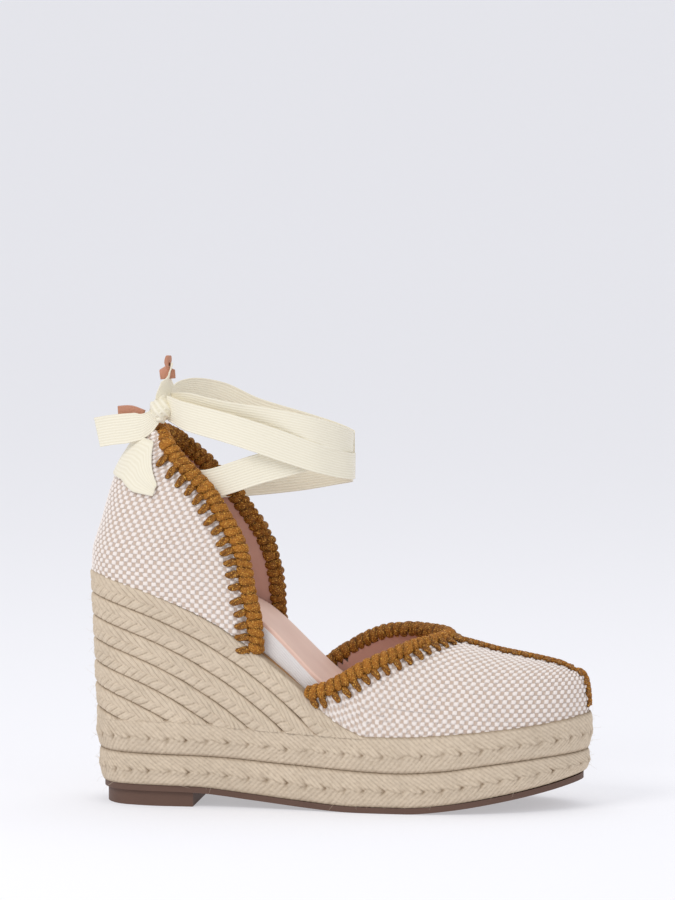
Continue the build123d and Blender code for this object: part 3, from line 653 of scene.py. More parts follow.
def vamp_surface(side, t, turn, depth=0.0):
    """Points of the toe cap: t is 0 at its back end and 1 at the toe, turn 0 at its foot, 90 on its ridge."""
    ring = inward(RIM, VAMP_INSET)
    n = len(ring)
    first, tip = (5 - 1) * STEPS, TOE_TIP * STEPS
    last = n - first + STEPS
    place = first + (tip - first) * t if side == "lateral" else last + (tip - last) * t
    i = np.floor(place).astype(int)
    f = (place - i)[..., None]
    p = ring[i % n] * (1 - f) + ring[(i + 1) % n] * f
    x, y = p[..., 0], p[..., 1]
    xr = np.minimum(toe_lead(x), 109.0)
    yr = 5.0 * np.clip((xr - 40) / 75, 0, 1)
    zf = np.maximum(wedge_edge(x), platform_top(x)) - 0.6
    zt = ridge(xr)
    length = np.hypot(xr - x, yr - y)
    power = roundness(x)
    turn = np.radians(turn)
    across = 1 - np.cos(turn) ** power
    across = np.where(turn > math.pi / 2 - 1e-6, 1, across)
    up = np.sin(turn) ** 0.92
    go = (depth + (length - depth) * across) / length
    return np.stack([x + (xr - x) * go, y + (yr - y) * go, zf + (zt - depth - zf) * up], axis=-1)


def vamp_piece(name, side, step, inside=0.0, textured=True):
    ts = np.linspace(0, 1, int(165 / step))
    s0 = np.linspace(0, 1, int(62 / step))
    turns = 90 * (1 - (1 - s0) ** 1.35)
    tt, gg = np.meshgrid(ts, turns, indexing="ij")
    grid = vamp_surface(side, tt, gg, inside)
    normal = normals_of(grid)
    centre = np.array([40, 2.0, 30.0])
    normal = normal * np.sign((normal * (grid - centre)).sum(-1))[..., None]
    x, z = grid[..., 0], grid[..., 2]
    line = smooth(VAMP_EDGE[side])
    good = (z < line(x)) | (x > 53)
    down = grid_lengths(grid, 1)
    fore = grid_lengths(grid, 0)
    p = fore[:, len(turns) // 3][:, None] + 0 * down
    q = down
    if textured:
        tilt = math.radians(-8 if side == "lateral" else 8)
        a = p * math.cos(tilt) + q * math.sin(tilt)
        b = -p * math.sin(tilt) + q * math.cos(tilt)
        height, shade, tone_and_shade = weave(a + 300.2, b + 300.4, 9)
        grid = grid + normal * (height - 0.75)[..., None]
        attributes = {"shade": shade, "tone_and_shade": tone_and_shade}
    else:
        attributes = {"shade": np.clip(0.75 + 0.25 * value_noise(p / 6, q / 6, 5), 0, 1)}
    faces = grid_faces(*tt.shape, keep=good)
    verts, faces, extra = tidy_points(grid.reshape(-1, 3), faces, attributes)
    return mesh_object(name, verts, faces, extra)


for side in ("lateral", "medial"):
    finish_piece(vamp_piece(f"toe_cap_{side}", side, 0.36 * FINE), WEAVE, "sandal", f"vamp_{side}")
    finish_piece(vamp_piece(f"toe_lining_{side}", side, 1.5, 2.4, False), LINING_MAT, "sandal",
                 f"vamp_lining_{side}")


# ---- crochet ----
def frames_along(line):
    """Tangent and two cross directions at each point of a line."""
    t = np.gradient(line, axis=0)
    t /= np.linalg.norm(t, axis=1)[:, None]
    a = np.zeros_like(t)
    guess = np.array([0.0, 0.0, 1.0])
    if abs(t[0] @ guess) > 0.9:
        guess = np.array([1.0, 0.0, 0.0])
    for i in range(len(t)):
        guess = guess - t[i] * (guess @ t[i])
        guess /= np.linalg.norm(guess)
        a[i] = guess
    return t, a, np.cross(t, a)


def tube_mesh(line, radius, around, height=None):
    """A tube along a line. radius is one number for each point."""
    t, a, b = frames_along(line)
    w = np.arange(around) / around * 2 * math.pi
    ring = a[:, None, :] * np.cos(w)[None, :, None] + b[:, None, :] * np.sin(w)[None, :, None]
    size = np.asarray(radius)[:, None] + (0 if height is None else height)
    grid = line[:, None, :] + ring * size[..., None]
    return grid, grid_faces(len(line), around, wrap_columns=True)


def crochet_roll(name, line, radius, step, pitch=3.0, seed=0):
    """A roll of crochet: plump slanting wraps of twisted yarn, each of three plies."""
    line = resample(line, int(along(line)[-1] / step))
    s = along(line)
    around = int(2 * math.pi * radius / step)
    ss, ww = np.meshgrid(s, np.arange(around) / around, indexing="ij")
    wob = 0.5 * (value_noise(ss / 5, ww * 3, seed) - 0.5)
    phase = ss / pitch + 1.0 * ww + wob
    wrap = strand(phase)
    f = phase - np.floor(phase)
    ply = strand(f * 3 + ww * 9)
    bead = strand(ww * 5 + np.floor(phase) * 0.37)
    height = 1.35 * wrap + 0.42 * ply + 0.45 * bead - 1.35
    ends = np.minimum(1, np.minimum(s, s[-1] - s) / 2.0) ** 0.5
    grid, faces = tube_mesh(line, radius * (0.15 + 0.85 * ends), around, height * ends[:, None])
    # painted shade: the wraps and plies are darker in their grooves, and the edging on the far side (y > 2) is
    # darkened to 0.62 as painted shadow; the noise is random tone
    shade = -0.12 + 0.70 * wrap + 0.50 * ply + 0.6 * (value_noise(ss * 1.6, ww * 24, seed + 3) - 0.5)
    shade = np.clip(shade * np.where(line[:, 1] > 2, 0.62, 1.0)[:, None], 0, 1)
    return mesh_object(name, grid.reshape(-1, 3), faces, {"shade": shade})


def counter_at(x, z, side):
    """The counter's outer face at x and z on one side."""
    aa = np.linspace(0.0, 0.5, 600) if side == "lateral" else np.linspace(1.0, 0.5, 600)
    line = counter_surface(np.full(600, float(z)), aa)
    order = np.argsort(line[:, 0])
    return np.array([np.interp(x, line[order, 0], line[order, k]) for k in range(3)])


def spline_line(points, count):
    pts = np.array(points, float)
    s = along(pts)
    fine = np.linspace(0, s[-1], count)
    return np.stack([smooth(list(zip(s, pts[:, k])))(fine) for k in range(pts.shape[1])], axis=1)


def join(parts):
    verts, faces, total = [], [], 0
    for v, f in parts:
        verts.append(v)
        faces.append(f + total)
        total += len(v)
    return np.vstack(verts), np.vstack(faces)


counter_edges = {}
for side in COUNTER_EDGE:
    edge = spline_line(COUNTER_EDGE[side], 60)
    edge = edge[edge[:, 1] > wedge_edge(edge[:, 0]) - 3.0]
    counter_edges[side] = edge
line = [counter_at(x, z, "lateral") for x, z in counter_edges["lateral"][:-3]]
line += [np.array([PEAK[0] - 1.5, 0, PEAK[1] + 1.0])]
line += [counter_at(x, z, "medial") for x, z in counter_edges["medial"][:-3][::-1]]
line = np.array(line)
line[:, 1] -= np.sign(line[:, 1]) * 0.9
COUNTER_LINE = spline_line(line, 500)
finish_piece(crochet_roll("counter_crochet", COUNTER_LINE, 3.2, 0.27 * FINE, 4.0, 1), CROCHET, "sandal",
             "counter_edging")


def scallops(name, line, push, count_step, radius):
    """Shell stitches that stand along the inner side of an edging."""
    parts = []
    line = resample(line, max(3, int(along(line)[-1] / count_step)))
    t, a, b = frames_along(line)
    for i, p in enumerate(line):
        theta = np.linspace(0, math.pi, 9)[:, None]
        phi = np.arange(14)[None, :] / 14 * 2 * math.pi
        lobe = 1 + 0.18 * np.cos(3 * phi + i) * np.sin(theta)
        v = np.stack([np.sin(theta) * np.cos(phi) * lobe, np.sin(theta) * np.sin(phi) * lobe,
                      np.cos(theta) + 0 * phi], -1) * radius
        v = v.reshape(-1, 3) * rng.uniform(0.88, 1.1)
        parts.append((v + p + push, grid_faces(9, 14, wrap_columns=True)))
    verts, faces = join(parts)
    return mesh_object(name, verts, faces, {"shade": 0.25 + 0.5 * rng.random(len(verts))})


inner_roll = COUNTER_LINE[len(COUNTER_LINE) // 2 + 18:]
finish_piece(scallops("counter_shells", inner_roll, np.array([2.6, -1.2, 1.4]), 3.6, 2.1), CROCHET)


def stitch_mesh(start, end, out, width, thick, plies=3):
    """A tapered blanket stitch of a few yarns between two points."""
    n, m = 15, 16
    f = np.linspace(0, 1, n)
    direction = end - start
    length = np.linalg.norm(direction)
    direction = direction / length
    across = np.cross(out, direction)
    taper = np.sqrt(np.maximum(1 - (2 * f - 1) ** 4, 0)) * (1.0 - 0.35 * f)
    w = np.arange(m) / m * 2 * math.pi
    rib = 1 + 0.16 * np.cos(plies * w[None, :] + 9 * f[:, None])
    lift = thick * 0.35 * (1 - 0.5 * f)
    grid = (start[None, None, :] + direction * (f * length)[:, None, None] + out * lift[:, None, None]
            + across * (np.cos(w)[None, :] * rib * (width * taper)[:, None])[..., None]
            + out * (np.sin(w)[None, :] * rib * (thick * taper)[:, None])[..., None])
    # painted shade: each stitch is lighter on its outward top and darker underneath and between its plies
    shade = 0.35 + 0.45 * np.cos(plies * w[None, :] + 9 * f[:, None]) * 0.5 + 0.2 * np.sin(w)[None, :]
    return grid.reshape(-1, 3), grid_faces(n, m, wrap_columns=True), np.clip(shade, 0, 1).ravel()


def counter_stitches():
    parts, shades = [], []
    for side, sign in (("lateral", -1), ("medial", 1)):
        edge = counter_edges[side]
        s = along(edge)
        for at in np.arange(2.5, s[-1] - 6, STITCH_PITCH):
            p = np.array([np.interp(at, s, edge[:, k]) for k in (0, 1)])
            q = np.array([np.interp(at + 1, s, edge[:, k]) for k in (0, 1)])
            run = (q - p) / np.linalg.norm(q - p)
            back = np.array([-run[1], run[0]])
            near, far = p + back * 2.2, p + back * (9.6 + rng.uniform(-0.5, 0.6))
            far = far + run * rng.uniform(-0.5, 0.5)
            a, b = counter_at(*near, side), counter_at(*far, side)
            c = counter_at(*(near + run * 1.5), side)
            out = np.cross(b - a, c - a)
            out /= np.linalg.norm(out)
            out = out if out[1] * sign > 0 else -out
            v, f, shade = stitch_mesh(a + out * 0.9, b + out * 0.5, out, 2.0, 1.35)
            parts.append((v, f))
            shades.append(shade)
    verts, faces = join(parts)
    return mesh_object("counter_blanket_stitches", verts, faces, {"shade": np.concatenate(shades)})


finish_piece(counter_stitches(), CROCHET, "sandal", "counter_stitches")

# the toe cap's edging follows its mouth
TT, GG = np.meshgrid(np.linspace(0, 1, 260), np.linspace(0, 90, 120), indexing="ij")
VAMP_POINTS = {side: vamp_surface(side, TT, GG) for side in ("lateral", "medial")}


def vamp_at(side, x, z):
    grid = VAMP_POINTS[side]
    miss = (grid[..., 0] - x) ** 2 + (grid[..., 2] - z) ** 2
    i, j = np.unravel_index(np.argmin(miss), miss.shape)
    return grid[i, j], i, j


def vamp_normal(side, i, j):
    g = VAMP_POINTS[side]
    i, j = min(max(i, 1), g.shape[0] - 2), min(max(j, 1), g.shape[1] - 2)
    n = np.cross(g[i + 1, j] - g[i - 1, j], g[i, j + 1] - g[i, j - 1])
    n = n / max(np.linalg.norm(n), 1e-9)
    return n if n @ (g[i, j] - np.array([40, 2, 30.0])) > 0 else -n


throat = np.array([50.5, 0.8, float(ridge(50.5)) + 0.6])
parts = []
for side in ("lateral", "medial"):
    edge = np.array(VAMP_EDGE[side][1:8], float)
    parts.append([vamp_at(side, x, z)[0] for x, z in edge])
VAMP_LINE = spline_line(np.array(parts[0] + [throat] + parts[1][::-1]), 400)
finish_piece(crochet_roll("toe_cap_crochet", VAMP_LINE, 2.9, 0.27 * FINE, 4.0, 2), CROCHET, "sandal",
             "vamp_edging")
finish_piece(scallops("toe_cap_shells", VAMP_LINE[len(VAMP_LINE) // 2 + 12:-8],
                      np.array([-1.0, 0.6, 1.6]), 3.6, 1.9),
             CROCHET)


def nearest_vamp(side, goal):
    grid = VAMP_POINTS[side]
    miss = ((grid - goal) ** 2).sum(-1)
    i, j = np.unravel_index(np.argmin(miss), miss.shape)
    return grid[i, j], i, j


def vamp_stitches():
    parts, shades = [], []
    s = along(VAMP_LINE)
    for at in np.arange(3, s[-1] - 3, 5.3):
        p = np.array([np.interp(at, s, VAMP_LINE[:, k]) for k in range(3)])
        q = np.array([np.interp(at + 1, s, VAMP_LINE[:, k]) for k in range(3)])
        side = "lateral" if at < s[-1] / 2 else "medial"
        root, i, j = nearest_vamp(side, p)
        out = vamp_normal(side, i, j)
        run = q - p
        ahead = np.cross(out, run)
        ahead /= np.linalg.norm(ahead)
        ahead = ahead if ahead[0] > 0 else -ahead
        a = nearest_vamp(side, p + ahead * 2.4)[0]
        b, i, j = nearest_vamp(side, p + ahead * (8.6 + rng.uniform(-0.4, 0.5)))
        if np.linalg.norm(b - a) < 3:
            continue
        out = vamp_normal(side, i, j)
        v, f, shade = stitch_mesh(a + out * 0.9, b + out * 0.5, out, 1.85, 1.3)
        parts.append((v, f))
        shades.append(shade)
    verts, faces = join(parts)
    return mesh_object("toe_cap_blanket_stitches", verts, faces, {"shade": np.concatenate(shades)})


finish_piece(vamp_stitches(), CROCHET, "sandal", "vamp_stitches")


def seam():
    """The crochet along the ridge of the toe cap, with short teeth on both sides."""
    top = VAMP_POINTS["lateral"][:, -1]
    top = top[(top[:, 0] > 49)]
    front = VAMP_POINTS["lateral"][-1, ::-1]
    front = front[front[:, 2] > 46]
    spine = resample(np.vstack([top, front[1:]]), 60)
    spine[:, 2] += 0.5
    spine = spline_line(resample(spine, 26), 300)
    roll = resample(spine, int(along(spine)[-1] / (0.3 * FINE)))
    s = along(roll)
    around = 22
    ss, ww = np.meshgrid(s, np.arange(around) / around, indexing="ij")
    wrap = strand(ss / 2.6 + 0.7 * ww)
    grid, faces = tube_mesh(roll, np.full(len(roll), 1.7), around, 0.9 * wrap - 0.8)
    # painted shade: the seam's wraps are darker in the grooves between them
    parts, shades = [(grid.reshape(-1, 3), faces)], [(0.15 + 0.7 * wrap).ravel()]
    for at in np.arange(6, s[-1] - 1, 5.3):
        p = np.array([np.interp(at, s, roll[:, k]) for k in range(3)])
        for side in ("lateral", "medial"):
            sign = -1 if side == "lateral" else 1
            goal = p + np.array([0.8, sign * 5.0, -1.0])
            b, i, j = nearest_vamp(side, goal)
            out = vamp_normal(side, i, j)
            v, f, shade = stitch_mesh(p + np.array([0, sign * 0.8, 0.2]), b + out * 0.5, out, 1.6, 1.1)
            parts.append((v, f))
            shades.append(shade)
    verts, faces = join(parts)
    return mesh_object("toe_cap_seam", verts, faces, {"shade": np.concatenate(shades)})


finish_piece(seam(), CROCHET, "sandal", "vamp_seam")


# ---- ribbon ----
def end_faces(rows, half):
    """Faces that close both ends of a strip whose rows go across its front, then back across its rear."""
    across = 2 * half
    ends = []
    for row in (0, rows - 1):
        first = row * across
        for j in range(half - 1):
            quad = [first + j, first + j + 1, first + across - 2 - j, first + across - 1 - j]
            ends.append(quad[::-1] if row else quad)
    return ends


def tape_mesh(name, centre, wide, thick=TAPE_THICK):
    """A tape along a line of points. wide is its half width as a vector at each point."""
    length = along(centre)
    n = int(length[-1] / (0.5 * FINE))
    at = np.linspace(0, length[-1], n)
    c = np.stack([np.interp(at, length, centre[:, k]) for k in range(3)], 1)
    w = np.stack([np.interp(at, length, wide[:, k]) for k in range(3)], 1)
    t = np.gradient(c, axis=0)
    normal = np.cross(t, w)
    normal /= np.linalg.norm(normal, axis=1)[:, None]
    m = 72 if FINE == 1 else 40
    f = np.linspace(-1, 1, m)
    rib = 0.05 * np.cos(f * math.pi * 11)
    selvedge = 0.10 * np.exp(-((np.abs(f) - 0.95) / 0.05) ** 2)
    half = thick / 2 + rib + selvedge
    bumps = value_noise(at[:, None] / 7 + 0 * f, f[None, :] * 1.5 + 3 + 0 * at[:, None], len(name))
    wave = 0.12 * (bumps - 0.5)
    face = c[:, None, :] + w[:, None, :] * f[None, :, None]
    top = face + normal[:, None, :] * (half[None, :] + wave)[..., None]
    low = face - normal[:, None, :] * (half[None, :] - wave)[..., None]
    grid = np.concatenate([top, low[:, ::-1]], axis=1)
    faces = grid_faces(n, 2 * m, wrap_columns=True)
    faces = np.vstack([faces, end_faces(n, m)])
    # painted shade: the ribbon is lighter on its ribs and darker in the grooves between them
    tone_and_shade = 0.55 + 0.45 * np.cos(f * math.pi * 11)
    tone_and_shade = np.concatenate([tone_and_shade, tone_and_shade[::-1]])
    shade = np.clip(0.55 + 0.45 * tone_and_shade[None, :] + 0 * at[:, None], 0, 1)
    return mesh_object(name, grid.reshape(-1, 3), faces, {"shade": shade})


def strand_line(points, width=TAPE, lean=0.0):
    """Points (x, y, z) smoothed, with a half width across the tape that stands upright."""
    pts = spline_line(points, 120)
    t = np.gradient(pts, axis=0)
    t /= np.linalg.norm(t, axis=1)[:, None]
    up = np.array([0, 0, 1.0]) - t * t[:, 2:3]
    up /= np.linalg.norm(up, axis=1)[:, None]
    side = np.cross(t, up)
    w = np.asarray(width) if np.ndim(width) else np.full(len(pts), float(width))
    w = np.interp(np.linspace(0, 1, len(pts)), np.linspace(0, 1, len(w)), w)
    lean = np.interp(np.linspace(0, 1, len(pts)), np.linspace(0, 1, np.size(lean)), np.atleast_1d(lean))
    across = up * np.cos(np.radians(lean))[:, None] + side * np.sin(np.radians(lean))[:, None]
    return pts, across * (w / 2)[:, None]


def ring_point(x, sign, z, half_length=44.0, half_width=29.0, cy=0.0):
    u = np.clip((x - ANKLE_X) / half_length, -1, 1)
    return [x, cy + sign * half_width * math.sqrt(max(1 - u * u, 0)), z]


def piece_of_tape(name, points, width, lean, replaces=()):
    """A strand of the ribbon."""
    centre, wide = strand_line(points, width, lean)
    obj = tape_mesh(name, centre, wide)
    finish_piece(obj, TAPE_MAT, "sandal", *replaces)
    return obj


N1 = [(-80, -9, 184.3), ring_point(-70, -1, 181.6), ring_point(-50, -1, 177.4), ring_point(-33, -1, 172.4),
      ring_point(-11, -1, 164.2), ring_point(0, -1, 160.0), (5.6, -8, 158.2), (6.6, 0, 157.6)]
F1 = [(6.0, 2, 166.9), (4.6, 9, 167.0), ring_point(-5, 1, 168.9), ring_point(-21, 1, 172.6),
      ring_point(-45, 1, 179.4),
      ring_point(-60, 1, 187.0), (-71, 16.5, 190.8), (-77.5, 9.5, 190.6), (-80.5, 2.5, 187.8), (-82, -4, 185)]
N1B = [(-79, -5, 187.0), (-70, -14, 186.4), (-52, -23, 183.0), (-30, -26, 180.0), (-12, -24, 176.6),
       (0, -16, 172.4),
       (4.8, -7, 169.4), (5.6, 1, 167.4)]
N2 = [(-81, -13.5, 146.6), (-72, -17.5, 148.0), (-56, -20.5, 151.0), (-37, -22.6, 157.4), (-15, -20.4, 163.4),
      (-2, -14, 166.4), (3.6, -6, 167.4), (4.6, 1, 167.2)]
F2 = [(5.4, -2, 157.0), (4.2, 6, 155.6), (-4, 15, 153.6), (-20, 19.8, 150.6), (-40, 21.0, 148.0),
      (-58, 18.8, 146.6),
      (-72, 15.4, 146.0), (-81, 12.5, 146.0)]
piece_of_tape("ribbon_near_upper", N1, [12.5, 13.6, 13.8, 13.8, 13.8, 13.2, 12.4, 12], [10, 6, 4, 3, 2, 0, 0],
              replaces=("ribbon_upper_wrap",))
piece_of_tape("ribbon_near_second", N1B, [8, 12, 13, 13.4, 13.4, 12.4, 11.6, 11.4], [0, 8, 10, 8, 5, 0])
piece_of_tape("ribbon_far_upper", F1, [12, 13.2, 13.8, 13.8, 13.8, 13.6, 13.0, 11, 8, 6], 0)
piece_of_tape("ribbon_near_lower", N2, [13.2, 13.4, 13.8, 13.8, 13.6, 12.6, 12], 0,
              replaces=("ribbon_lower_wrap",))
piece_of_tape("ribbon_far_lower", F2, [12, 13, 13.8, 13.8, 13.6, 13.2], 0)


def back_tape():
    """The tape behind the counter, between the slits, gathered up towards the knot on its near side."""
    try_a = np.linspace(0.2, 0.5, 200)
    slit = float(np.interp(82.5, -counter_surface(np.full(200, 150.0), try_a)[:, 0], try_a))
    aa = np.linspace(slit, 1 - slit, 61)
    share = (aa - slit) / (1 - 2 * slit)
    low = np.interp(share, [0, 0.10, 0.22, 0.5, 0.8, 1], [144.5, 146.0, 151.0, 153.5, 149, 145.5])
    high = np.interp(share, [0, 0.06, 0.14, 0.25, 0.5, 0.8, 1], [150, 158, 169, 170, 168, 163.5, 159])
    rows = []
    for a, lo, hi in zip(aa, low, high):
        zs = np.linspace(lo, hi, 30)
        p = counter_surface(zs, np.full(30, a))
        rows.append(p)
    grid = np.array(rows)
    fine = []
    for k in range(30):
        fine.append(resample(grid[:, k], int(130 / FINE)))
    grid = np.stack(fine, axis=1)
    normal = normals_of(grid)
    normal *= np.sign((normal * (grid - np.array([-60, 0, 120.0]))).sum(-1))[..., None]
    f = np.linspace(0, 1, 30)[None, :]
    s = np.linspace(0, 1, grid.shape[0])[:, None]
    crease = 0.45 * np.sin((f * 2.2 + 0.8 * s) * math.pi * 2) * np.exp(-(np.minimum(s, 1 - s) / 0.16))
    outer = grid + normal * (1.25 + crease + 0.5 * np.exp(-(np.minimum(s, 1 - s) / 0.05)))[..., None]
    inner = outer - normal * 0.5
    full = np.concatenate([outer, inner[:, ::-1]], axis=1)
    faces = np.vstack([grid_faces(full.shape[0], full.shape[1], wrap_columns=True),
                       end_faces(full.shape[0], grid.shape[1])])
    width = float(np.linalg.norm(np.diff(grid, axis=1), axis=2).sum(axis=1).mean())
    length = float(along(grid[:, grid.shape[1] // 2])[-1])
    # painted shade: light and dark stripes across the tape stand in for the shade of its ribs
    tone_and_shade = 0.75 + 0.25 * np.cos(np.linspace(0, 1, 30) * math.pi * 22)
    shade = np.clip(np.concatenate([tone_and_shade, tone_and_shade[::-1]])[None, :] + 0 * full[..., 0], 0, 1)
    strip = mesh_object("ribbon_behind", full.reshape(-1, 3), faces, {"shade": shade})
    return strip, (width / 1000, length / 1000)


strip, cut = back_tape()
obj = finish_piece(strip, TAPE_MAT, "sandal", "ribbon_back")


def knot():
    """Three folded bands pulled round one another."""
    parts, shades = [], []
    centre = np.array([-82.9, -7.5, 183.6])
    bands = [((0.85, 0.05, 0.5), (-0.3, 0, 0.9), 6.2, 4.4, 0.2),
             ((0.5, 0.15, -0.85), (0.85, 0.1, 0.5), 6.0, 3.6, 1.6),
             ((0.95, -0.2, -0.15), (0.1, -0.3, 0.9), 4.6, 6.0, 3.0),
             ((0.1, 0.3, 1.0), (1, 0, 0), 4.0, 6.2, 4.0)]
    for axis, up, rx, half, turn in bands:
        axis = np.array(axis, float)
        axis /= np.linalg.norm(axis)
        up = np.array(up, float)
        up -= axis * (up @ axis)
        up /= np.linalg.norm(up)
        side = np.cross(axis, up)
        n, m = 72, 26
        w = np.arange(n) / n * 2 * math.pi
        f = np.linspace(-1, 1, m)
        bulge = np.sqrt(np.maximum(1 - (0.86 * f) ** 2, 0))
        crease = 0.35 * np.sin(5 * f[None, :] * 2.2 + 2 * w[:, None] + turn)
        r = rx * bulge[None, :] + crease
        outer = (centre + side * (np.cos(w)[:, None] * r)[..., None]
                 + up * (np.sin(w)[:, None] * r * 0.86)[..., None]
                 + axis * (f[None, :] * half * (1 + 0.12 * np.cos(w + turn))[:, None])[..., None])
        inner = centre + (outer - centre) * 0.84
        full = np.concatenate([outer, inner[:, ::-1]], axis=1)
        parts.append((full.reshape(-1, 3), grid_faces(n, 2 * m, wrap_rows=True, wrap_columns=True)))
        # painted shade: each band is darker in its creases, and its inner face is darkened to 0.6
        tone_and_shade = np.clip(0.7 + 0.8 * crease, 0, 1)
        shades.append(np.concatenate([tone_and_shade, tone_and_shade[:, ::-1] * 0.6], axis=1).ravel())
    verts, faces = join(parts)
    return mesh_object("knot", verts, faces, {"shade": np.concatenate(shades)})


finish_piece(knot(), TAPE_MAT, "sandal", "ribbon_knot")


def tail_piece(name, points, width, lean, node):
    centre, wide = strand_line(points, width, lean)
    obj = tape_mesh(name, centre, wide)
    obj.data.materials.append(TAPE_MAT)
    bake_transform(obj)
    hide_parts(node)
    return obj


tail_piece("ribbon_end_side", [(-83.5, -9, 183.2), (-87, -11, 179.4), (-91.5, -11.4, 176.4),
                               (-99, -11.2, 174.8),
                               (-106, -10.6, 173.9), (-113, -10, 172.6)],
           [5.0, 8.5, 13.0, 14.0, 14.0, 14.0], [20, 0, 0, 0, 0, -6], "ribbon_tail_side")
tail_piece("ribbon_end_up", [(-83.6, -7.5, 186.0), (-82.2, -8, 190.4), (-80.2, -7.6, 195.6),
                             (-79.2, -7, 200.4),
                             (-78.6, -6.6, 205.2)],
           [5.0, 7.5, 9.5, 8.6, 7.0], [60, 40, 40, 62, 74], "ribbon_tail_up")


def tip_piece(name, points, width, lean, node, body):
    centre, wide = strand_line(points, width, lean)
    obj = tape_mesh(name, centre, wide, thick=1.5)
    obj.data.materials.append(TAN_MAT)
    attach(obj, body)
    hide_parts(node)
    return obj


tip_piece("tip_side", [(-103.5, -7.0, 181.2), (-98, -7.0, 181.4), (-91.5, -7.6, 179.8)],
          [7, 7.4, 6.5], [8, 4, 0], "tail_tip_side", "side_tail")
tip_piece("tip_up", [(-80.2, -6.2, 197.6), (-80.6, -5.8, 202.4), (-80.0, -5.4, 208.4)],
          [7.0, 7.4, 6.4], [50, 54, 58], "tail_tip_up", "up_tail")


# ---- footbed ----
def footbed_ring(inset, count):
    ring = resample(np.vstack([RIM, RIM[:1]]), count + 1)[:-1]
    d = np.roll(ring, -1, 0) - np.roll(ring, 1, 0)
    d /= np.linalg.norm(d, axis=1)[:, None]
    share = np.clip((wedge_edge(ring[:, 0]) - WEDGE_FOOT_Z) / (WEDGE_HEAD_Z - WEDGE_FOOT_Z), 0, 1)
    p = ring + np.stack([-d[:, 1], d[:, 0]], 1) * inset
    p[:, 0] -= share * WEDGE_OVERHANG
    return p


INSOLE_INSET = 8.8


def sock():
    """The padded leather sock: its edge is rolled and its top is a little hollow."""
    count = int(700 / FINE)
    outer = footbed_ring(INSOLE_INSET - 0.4, count)
    middle_x = np.interp(outer[:, 0], [-112, -95, 95, 108], [-104, -90, 88, 100])
    spine = np.stack([middle_x, np.zeros(count) + 0.5], 1)
    steps = np.concatenate([np.linspace(0, 0.12, 12), np.linspace(0.15, 1, 22)])
    rows = []
    for f in steps:
        p = outer + (spine - outer) * f
        edge = min(f / 0.06, 1)
        z = insole_top(p[:, 0]) + 0.9 * (math.sqrt(1 - (1 - edge) ** 2) - 1) - 0.8 * (1 - (1 - f) ** 2) * 0.6
        rows.append(np.concatenate([p, z[:, None]], 1))
    side = []
    for drop in (3.0, 2.6, 2.0, 1.4):
        side.append(np.concatenate([outer, (insole_top(outer[:, 0]) - 0.9 - drop + 0.6)[:, None]], 1))
    grid = np.stack(side + rows, axis=1)
    shade = np.clip(0.82 + 0.18 * value_noise(grid[..., 0] / 8, grid[..., 1] / 8, 4), 0, 1)
    # painted shade: the side under the rolled edge is darkened
    shade[:, :4] *= 0.75
    faces = grid_faces(*grid.shape[:2], wrap_rows=True)
    return mesh_object("sock", grid.reshape(-1, 3), faces, {"shade": shade})


finish_piece(sock(), SOCK_MAT, "sandal", "sock_lining")


def binding():
    """White cotton round the edge of the insole board."""
    count = int(900 / FINE)
    ring = footbed_ring(INSOLE_INSET - 0.2, count)
    d = np.roll(ring, -1, 0) - np.roll(ring, 1, 0)
    d /= np.maximum(np.linalg.norm(d, axis=1)[:, None], 1e-9)
    out = np.stack([d[:, 1], -d[:, 0]], 1)
    x = ring[:, 0]
    low = np.maximum(wedge_edge(x), platform_top(x)) - 0.5
    high = insole_top(x) - 2.6
    rows = 26
    v = np.linspace(0, 1, rows)
    z = low[:, None] + (high - low)[:, None] * v
    bulge = 0.9 * np.sqrt(np.maximum(1 - (2 * v - 1) ** 4, 0))
    s = along(np.vstack([ring, ring[:1]]))[:-1]
    knit = 0.10 * np.cos(s[:, None] * 4.2) * np.cos(z * 4.2)
    p = ring[:, None, :] + out[:, None, :] * (bulge[None, :] + knit)[..., None]
    grid = np.concatenate([p, z[..., None]], 2)
    # painted shade: darker between the knit loops and at the foot where the cloth meets the wedge
    shade = np.clip(0.75 + 2.2 * knit - 0.35 * np.exp(-v / 0.08)[None, :], 0, 1)
    faces = grid_faces(count, rows, wrap_rows=True)
    return mesh_object("insole_edge_cloth", grid.reshape(-1, 3), faces, {"shade": shade})


finish_piece(binding(), BINDING_MAT, "sandal", "insole_binding")

# ---- the plain pieces ----
for node, mat in (("heel_lift", RUBBER_MAT), ("outsole", RUBBER_MAT), ("platform_core", CORE_MAT),
                  ("wedge_core", CORE_MAT), ("insole_board", BOARD_MAT)):
    nodes[node].data.materials.clear()
    nodes[node].data.materials.append(mat)

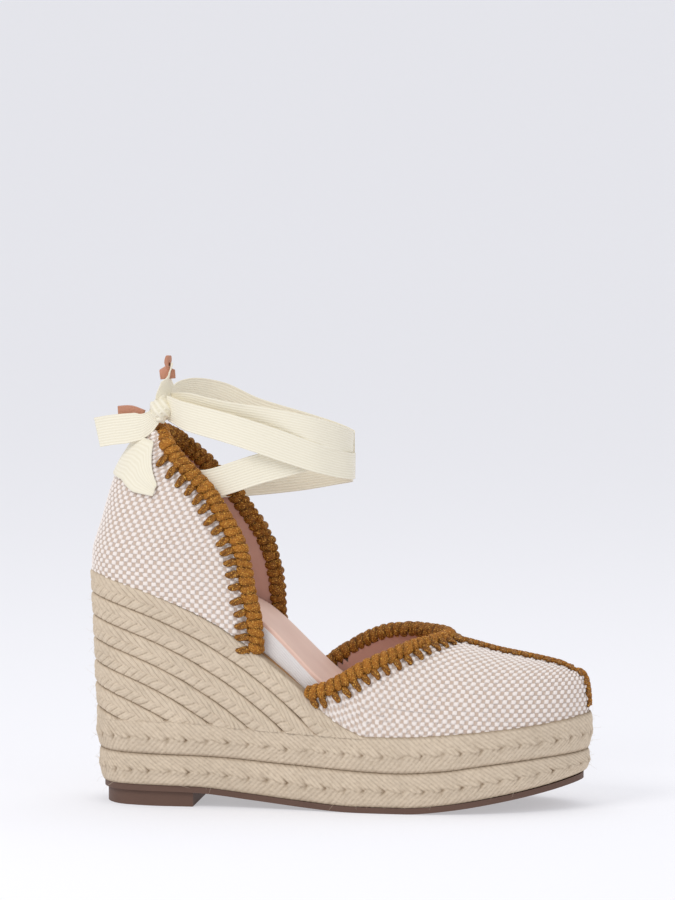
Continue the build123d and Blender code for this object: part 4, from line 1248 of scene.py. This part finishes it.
# ---- room, light and camera ----
turn = np.linspace(0, math.pi / 2, 24)
profile = [(-6.0, 0.0)] + [(3.0 + 2.5 * math.sin(w), 2.5 - 2.5 * math.cos(w)) for w in turn] + [(5.5, 9.0)]
profile = np.array(profile)
across = np.array([-8.0, 0.0, 8.0])
grid = np.stack([np.stack([across, np.full(3, y), np.full(3, z)], 1) for y, z in profile]) * 1000
floor = mesh_object("floor", grid.reshape(-1, 3), grid_faces(len(profile), 3)[:, ::-1])
floor_mat = bpy.data.materials.new("floor")
floor_mat.use_nodes = True
bsdf = floor_mat.node_tree.nodes["Principled BSDF"]
bsdf.inputs["Base Color"].default_value = (0.56, 0.56, 0.58, 1)
bsdf.inputs["Roughness"].default_value = 1.0
bsdf.inputs["Specular IOR Level"].default_value = 0.0
bsdf.inputs["Emission Color"].default_value = (0.97, 0.97, 1.0, 1)
bsdf.inputs["Emission Strength"].default_value = 0.42
floor.data.materials.append(floor_mat)

world = bpy.data.worlds.new("room")
bpy.context.scene.world = world
world.use_nodes = True
world.node_tree.nodes["Background"].inputs[0].default_value = (0.90, 0.91, 0.955, 1)
world.node_tree.nodes["Background"].inputs[1].default_value = 0.68


def area_light(name, at, target, size, power, colour=(1, 1, 1)):
    light = bpy.data.lights.new(name, "AREA")
    light.shape = "RECTANGLE"
    light.size, light.size_y = size
    light.energy = power
    light.color = colour
    obj = bpy.data.objects.new(name, light)
    bpy.context.collection.objects.link(obj)
    obj.location = at
    obj.rotation_euler = (Vector(target) - Vector(at)).to_track_quat("-Z", "Y").to_euler()
    return obj


area_light("key", (-0.55, -0.75, 0.95), (0, 0, 0.08), (0.5, 0.5), 4.9, (1.0, 0.985, 0.965))
area_light("fill", (0.8, -0.7, 0.55), (0, 0, 0.08), (0.9, 0.7), 1.2, (0.97, 0.98, 1.0))
area_light("top", (0.1, 0.35, 1.1), (0, 0, 0.08), (0.9, 0.6), 2.0)

camera = bpy.data.cameras.new("camera")
camera_object = bpy.data.objects.new("camera", camera)
bpy.context.collection.objects.link(camera_object)
azimuth, elevation, distance = math.radians(7.5), math.radians(6.0), 4.0
target = Vector((-0.0016, 0.0, 0.1648))
camera_object.location = target + distance * Vector((math.sin(azimuth) * math.cos(elevation),
                                                     -math.cos(azimuth) * math.cos(elevation), math.sin(elevation)))
camera_object.rotation_euler = (target - camera_object.location).to_track_quat("-Z", "Y").to_euler()
camera.sensor_fit = "VERTICAL"
camera.sensor_height = 24
camera.lens = 24 * distance / 0.418
camera.clip_start = 0.05
bpy.context.scene.camera = camera_object

scene = bpy.context.scene
scene.view_settings.view_transform = "Standard"
scene.view_settings.look = "None"
